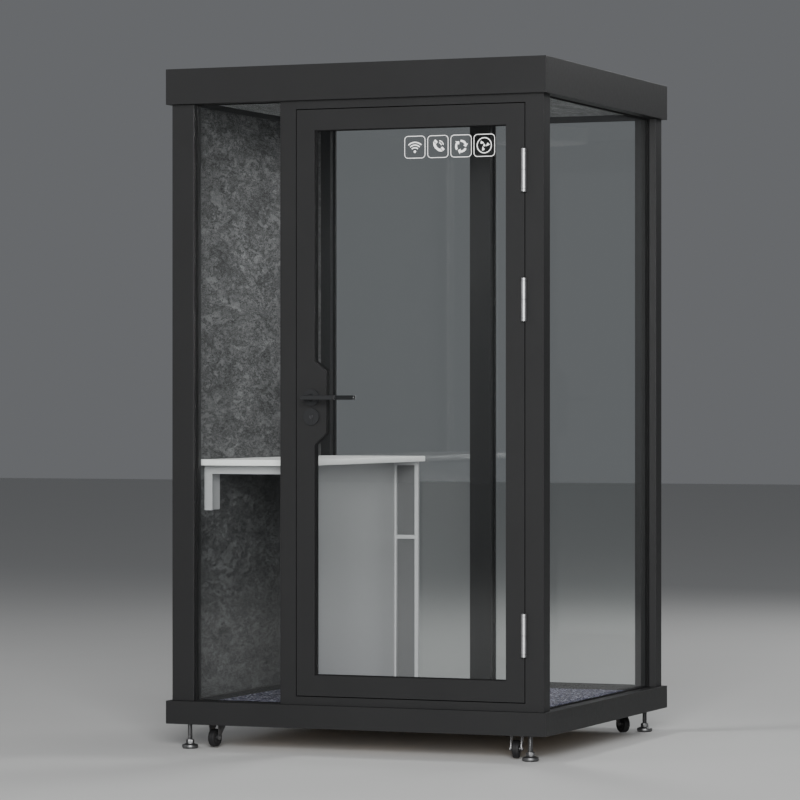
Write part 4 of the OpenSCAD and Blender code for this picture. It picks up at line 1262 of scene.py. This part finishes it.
# casters: pressed fork with a bearing cup, axle bolt, moulded hub and rubber tyre
casterLook = {"plate": 0.003, "gap": 0.004, "wheelW": 0.024, "cupR": 0.022, "hubR": 0.0195, "spokes": 6,
              "eyeR": 0.0085, "stemR": 0.0055, "stemTop": 0.114, "ribHalf": 0.0012, "boltR": 0.0068,
              "nutCorner": 0.0062, "boreR": 0.00406, "shoulderR": 0.0032}


def makeCaster(corner):
    forkName, wheelName = "fork_" + corner, "wheel_" + corner
    swivel = Vector(jointOf["caster_swivel_" + corner]["pos_m"])
    roll = Vector(jointOf["caster_roll_" + corner]["pos_m"])
    heading = math.atan2(roll.y - swivel.y, roll.x - swivel.x)
    trail = math.hypot(roll.y - swivel.y, roll.x - swivel.x)
    top = swivel.z - 0.001
    wheelZ = roll.z
    place = Matrix.Translation(Vector((swivel.x, swivel.y, 0))) @ Matrix.Rotation(heading, 4, "Z")
    t, half = casterLook["plate"], casterLook["wheelW"] / 2 + casterLook["gap"]
    work = bmesh.new()
    # legs: wide under the crown, drawn in to a round eye at the axle
    eye, front, back = casterLook["eyeR"], [], []
    for i in range(9):
        s = i / 8
        z = (top - 0.004) * (1 - s) + (wheelZ + 0.003) * s
        front.append((trail + 0.0105 - 0.002 * s - 0.004 * math.sin(math.pi * s), z))
        back.append((-0.011 + (trail - 0.0085 + 0.011) * (s ** 0.75), z))
    eyeArc = [(trail + eye * math.cos(a), wheelZ + eye * math.sin(a)) for a in
              (math.radians(-170 + 16 * i) for i in range(11))]
    outline = back + eyeArc + front[::-1]
    ribHalf = casterLook["ribHalf"]
    for side in (-1, 1):
        part = bmesh.new()
        y = side * half if side > 0 else -half - t
        plateInto(part, [(x, y, z) for x, z in outline], (0, t, 0))
        edges = [edge for edge in part.edges if edge.calc_face_angle(0) > math.radians(60)]
        bmesh.ops.bevel(part, geom=edges, offset=0.0007, segments=2, profile=0.5, affect="EDGES")
        mergeInto(work, part, place)
        # pressed rib along the leg
        part = bmesh.new()
        face, drop = side * (half + t), top - wheelZ - 0.026
        rib = [Vector((0.004 + (trail - 0.006) * s, face, top - 0.012 - drop * s))
               for s in (i / 6 for i in range(7))]
        for a, b in zip(rib, rib[1:]):
            y0, y1 = sorted((a.y, a.y + side * ribHalf))
            roundBoxInto(part, (min(a.x, b.x) - ribHalf, y0, min(a.z, b.z)),
                         (max(a.x, b.x) + ribHalf, y1, max(a.z, b.z) + 0.0016), 0.0004, 1)
        mergeInto(work, part, place)
    part = bmesh.new()
    roundBoxInto(part, (-0.012, -half - t, top - 0.0065), (trail + 0.0095, half + t, top - 0.0035),
                 0.0012, 3)
    mergeInto(work, part, place)
    cup, stem, stemTop, bolt = (casterLook[key] for key in ("cupR", "stemR", "stemTop", "boltR"))
    crown = [(0, top - 0.0075), (cup * 0.5, top - 0.0075), (cup * 0.6, top - 0.0045), (cup, top - 0.0042),
             (cup, top - 0.0028), (cup - 0.0012, top - 0.0006), (cup - 0.003, top), (0.009, top),
             (stem, top - 0.0002), (stem, stemTop - 0.001), (stem - 0.001, stemTop), (0, stemTop)]
    latheInto(work, crown, place, 48)
    for side in (-1, 1):
        turn = placeOf(Vector((0, 0, 0)), (0, side, 0))
        spot = place @ Matrix.Translation(Vector((trail, side * (half + t), wheelZ))) @ turn
        latheInto(work, [(0, 0), (bolt, 0), (bolt, 0.0006), (bolt - 0.0004, 0.0009), (0, 0.0009)], spot, 32)
        hexInto(work, spot @ Matrix.Translation((0, 0, 0.0008)), casterLook["nutCorner"], 0.0028)
    settle(toPiece("casterFork." + corner, work, 35), forkName, "fork_steel", replaced=(forkName,))

    axle = place @ Matrix.Translation(Vector((trail, 0, wheelZ))) @ placeOf(Vector((0, 0, 0)), (0, 1, 0))
    low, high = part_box(wheelName)
    wheelR, w = (high.z - low.z) / 2, casterLook["wheelW"] / 2
    work = bmesh.new()
    hub, soft = casterLook["hubR"], casterLook["shoulderR"]
    tyre = [(hub, -w + 0.0035), (hub + 0.0012, -w + 0.0012), (wheelR - 0.006, -w),
            (wheelR - soft, -w + 0.0009)]
    tyre += [(wheelR - soft + soft * math.sin(a), -w + 0.0041 - soft * math.cos(a)) for a in
             (math.radians(30 + 15 * i) for i in range(5))]
    tyre += [(wheelR, -0.0012), (wheelR - 0.0004, -0.0007), (wheelR - 0.0004, 0.0007), (wheelR, 0.0012)]
    mirror = [(r, -z) for r, z in tyre[:9]][::-1]
    latheInto(work, tyre + mirror, axle, 72, closed=True)
    settle(toPiece("casterTyre." + corner, work, 38), wheelName, "wheel_rubber", replaced=(wheelName,))
    work = bmesh.new()
    core = [(casterLook["boreR"], -w - 0.003), (0.0078, -w - 0.003), (0.0082, -w - 0.0026),
            (0.0088, -w + 0.004), (hub - 0.0035, -w + 0.0055), (hub - 0.0015, -w + 0.0016),
            (hub + 0.0004, -w + 0.0014)]
    latheInto(work, core + [(r, -z) for r, z in core][::-1], axle, 60, closed=True)
    for i in range(casterLook["spokes"]):
        for side in (-1, 1):
            spoke = axle @ Matrix.Rotation(2 * math.pi * i / casterLook["spokes"], 4, "Z")
            a, b = sorted((side * (w - 0.0058), side * (w - 0.0022)))
            roundBoxInto(work, (0.0078, -0.0011, a), (hub - 0.0022, 0.0011, b), 0.0004, 1, spoke)
    settle(toPiece("casterHub." + corner, work, 38), wheelName, "black_plastic")


for corner in ("front_left", "front_right", "back_left", "back_right"):
    makeFoot(corner)
    makeCaster(corner)
print("feet and casters made")


# fasteners
screwLook = {"roof": 0.0042, "hinge": 0.0036, "plate": 0.0034, "bracket": 0.0042, "small": 0.0028,
             "roofPitch": 0.21, "roofEnd": 0.02, "roofEdge": 0.007, "looseTurn": 3.0, "firstSeed": 5}


def countersunk(work):
    profile = [(0.24, 0.0), (0.5, 0.02), (0.86, 0.10), (1.0, 0.02), (1.0, -0.06), (0, -0.06), (0, -0.34),
               (0.24, -0.34)]
    latheInto(work, profile, placeOf(Vector((0, 0, 0))), 24)
    bridgeRims(work)


def panHead(work):
    profile = [(0.26, 0.16), (0.26, 0.48), (0.45, 0.5), (0.75, 0.42), (0.93, 0.25), (1.0, 0.0),
               (1.0, -0.05), (0, -0.05), (0, 0.16)]
    latheInto(work, profile, placeOf(Vector((0, 0, 0))), 24)
    bridgeRims(work)


def roofSpots():
    low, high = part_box("roof_cover")
    end, inset = screwLook["roofEnd"], screwLook["roofEdge"]
    spots = []
    for axis, other in ((0, 1), (1, 0)):
        length = high[axis] - low[axis] - 2 * end
        count = max(2, round(length / screwLook["roofPitch"]))
        for i in range(count + 1):
            if axis == 1 and i in (0, count):
                continue
            for edge in (low[other] + inset, high[other] - inset):
                point = Vector((0, 0, high.z))
                point[axis], point[other] = low[axis] + end + length * i / count, edge
                spots.append((point, (0, 0, 1)))
    return spots


def placeScrews():
    flush, pan = smallPart("flushHead", countersunk), smallPart("panHead", panHead)
    strikeLow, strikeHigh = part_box("strike_plate")
    caseLow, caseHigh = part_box("lock_case")
    legLow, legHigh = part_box("desk_bracket")
    midY = (strikeLow.y + strikeHigh.y) / 2
    legX, legY = legLow.x + 0.004, legLow.y + 0.019

    def column(x, y, heights, facing):
        return [(Vector((x, y, z)), facing) for z in heights]

    strikeSpots = column(strikeHigh.x, midY, (strikeLow.z + 0.012, strikeHigh.z - 0.012), (1, 0, 0))
    faceSpots = column(caseLow.x, midY, (caseLow.z + 0.010, caseHigh.z - 0.010), (-1, 0, 0))
    legSpots = column(legX, legY, (legLow.z + 0.022, legLow.z + 0.085, legHigh.z - 0.03), (1, 0, 0))
    fanSpots = [(point, (0, 0, 1)) for point in fanCorners]
    inletSpots = [(point, (0, 1, 0)) for point in inletScrews]
    switchSpots = column(switchX, switchHigh.y, (switchLow.z + 0.009, switchLow.z + 0.047), (0, 1, 0))
    steel, zinc = materials["satin_steel"], materials["foot_steel"]
    placeParts("roofScrews", pan, roofSpots(), "booth", "cover_paint", screwLook["roof"], 1.0, 3)
    for index, (name, head, spots, body, slotName, size, material) in enumerate((
            ("frameHingeScrews", flush, hingeScrews["booth"], "booth", "satin_steel", "hinge", None),
            ("doorHingeScrews", flush, hingeScrews["door"], "door", "satin_steel", "hinge", None),
            ("strikeScrews", flush, strikeSpots, "booth", "satin_steel", "plate", None),
            ("faceScrews", flush, faceSpots, "door", "satin_steel", "plate", None),
            ("bracketScrews", pan, legSpots, "booth", "desk_grey", "bracket", steel),
            ("fanScrews", pan, fanSpots, "booth", "satin_steel", "bracket", zinc),
            ("inletScrews", flush, inletSpots, "booth", "satin_steel", "small", None),
            ("switchScrews", flush, switchSpots, "booth", "switch_plastic", "small", steel))):
        placeParts(name, head, spots, body, slotName, screwLook[size], screwLook["looseTurn"],
                   screwLook["firstSeed"] + 2 * index, material)
    for part in (flush, pan):
        bpy.data.objects.remove(part)


placeScrews()
print("fasteners placed")


# four white pictograms on the outside of the leaf's glass
iconLook = {"left": 0.1754, "right": 0.4955, "low": 1.9825, "high": 2.057, "line": 0.0020, "corner": 0.013,
            "film": 0.00025, "waves": (0.016, 0.025, 0.034), "ringing": (0.0095, 0.0165), "cycleR": 0.0175,
            "fanRing": (0.0265, 0.0236)}


def makeIcons():
    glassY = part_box("door_glass")[0].y
    film = iconLook["film"]
    size = iconLook["high"] - iconLook["low"]
    pitch = (iconLook["right"] - iconLook["left"] - size) / 3
    work = bmesh.new()

    def plate(points, centre):
        plateInto(work, [(centre.x + x, glassY - film, centre.z + z) for x, z in points], (0, film, 0))

    def ring(outer, inner, centre):
        loops = [[work.verts.new((centre.x + x, glassY - film, centre.z + z)) for x, z in outline]
                 for outline in (outer, inner)]
        loops += [[work.verts.new((vert.co.x, glassY, vert.co.z)) for vert in loop] for loop in loops]
        for a, b in ((0, 1), (2, 3), (0, 2), (1, 3)):
            for k in range(len(outer)):
                j = (k + 1) % len(outer)
                work.faces.new((loops[a][k], loops[a][j], loops[b][j], loops[b][k]))

    def polar(middle, r, a):
        return middle[0] + r * math.cos(a), middle[1] + r * math.sin(a)

    def arc(centre, middle, r, width, start, end, steps=14):
        points = [polar(middle, r + width / 2, math.radians(start + (end - start) * i / steps))
                  for i in range(steps + 1)]
        points += [polar(middle, r - width / 2, math.radians(end + (start - end) * i / steps))
                   for i in range(steps + 1)]
        plate(points, centre)

    def dot(centre, middle, r, steps=20):
        plate([polar(middle, r, 2 * math.pi * i / steps) for i in range(steps)], centre)

    def wireless(c):
        for r in iconLook["waves"]:
            arc(c, (0, -0.018), r, 0.0038, 48, 132)
        dot(c, (0, -0.0148), 0.0043)

    def handset(c):
        turn = math.radians(-45)

        def spun(points):
            return [(x * math.cos(turn) - z * math.sin(turn) - 0.001,
                     x * math.sin(turn) + z * math.cos(turn) - 0.001) for x, z in points]

        arch = [(0.0225 * math.cos(a), 0.004 + 0.0135 * math.sin(a)) for a in
                (math.radians(180 + 180 * i / 16) for i in range(17))]
        inner = [(0.013 * math.cos(a), 0.006 + 0.0075 * math.sin(a)) for a in
                 (math.radians(360 - 180 * i / 16) for i in range(17))]
        plate(spun(arch + inner), c)
        for side in (-1, 1):
            cap = roundedOutline(0.0062, 0.0048, 0.002, 3)
            plate(spun([(x + side * 0.0172, z + 0.0072) for x, z in cap]), c)
        for r in iconLook["ringing"]:
            arc(c, (0.003, 0.003), r, 0.0030, 8, 82, 8)

    def cycle(c):
        middle, r = (0, -0.001), iconLook["cycleR"]
        for k in range(3):
            start = 95 + 120 * k
            arc(c, middle, r, 0.0068, start - 74, start, 10)
            a, tip = math.radians(start - 74), math.radians(start - 104)
            plate([polar(middle, r, tip), polar(middle, r + 0.009, a), polar(middle, r - 0.009, a)], c)

    def airflow(c):
        ring(*([polar((0, 0), r, 2 * math.pi * i / 40) for i in range(40)] for r in iconLook["fanRing"]), c)
        dot(c, (0, 0), 0.0036)
        for k in range(3):
            base = math.radians(90 + 120 * k)
            steps = [(i / 8, 0.0052 + 0.0148 * i / 8, base + 0.62 * math.sin(i / 8 * math.pi / 2))
                     for i in range(9)]
            lead = [(r, a) for s, r, a in steps]
            rear = [(r, a + 0.7125 * math.sin(math.pi * min(1, s * 1.12))) for s, r, a in steps[7:0:-1]]
            plate([(r * math.cos(a), r * math.sin(a)) for r, a in lead + rear], c)

    line, midZ = iconLook["line"], (iconLook["low"] + iconLook["high"]) / 2
    for index, draw in enumerate((wireless, handset, cycle, airflow)):
        centre = Vector((iconLook["left"] + size / 2 + pitch * index, 0, midZ))
        ring(roundedOutline(size / 2, size / 2, iconLook["corner"]),
             roundedOutline(size / 2 - line, size / 2 - line, iconLook["corner"] - line), centre)
        draw(centre)
    settle(toPiece("glassPictograms", work, 40), "door", "lamp_white", materials["white_film"])


makeIcons()
print("pictograms made")
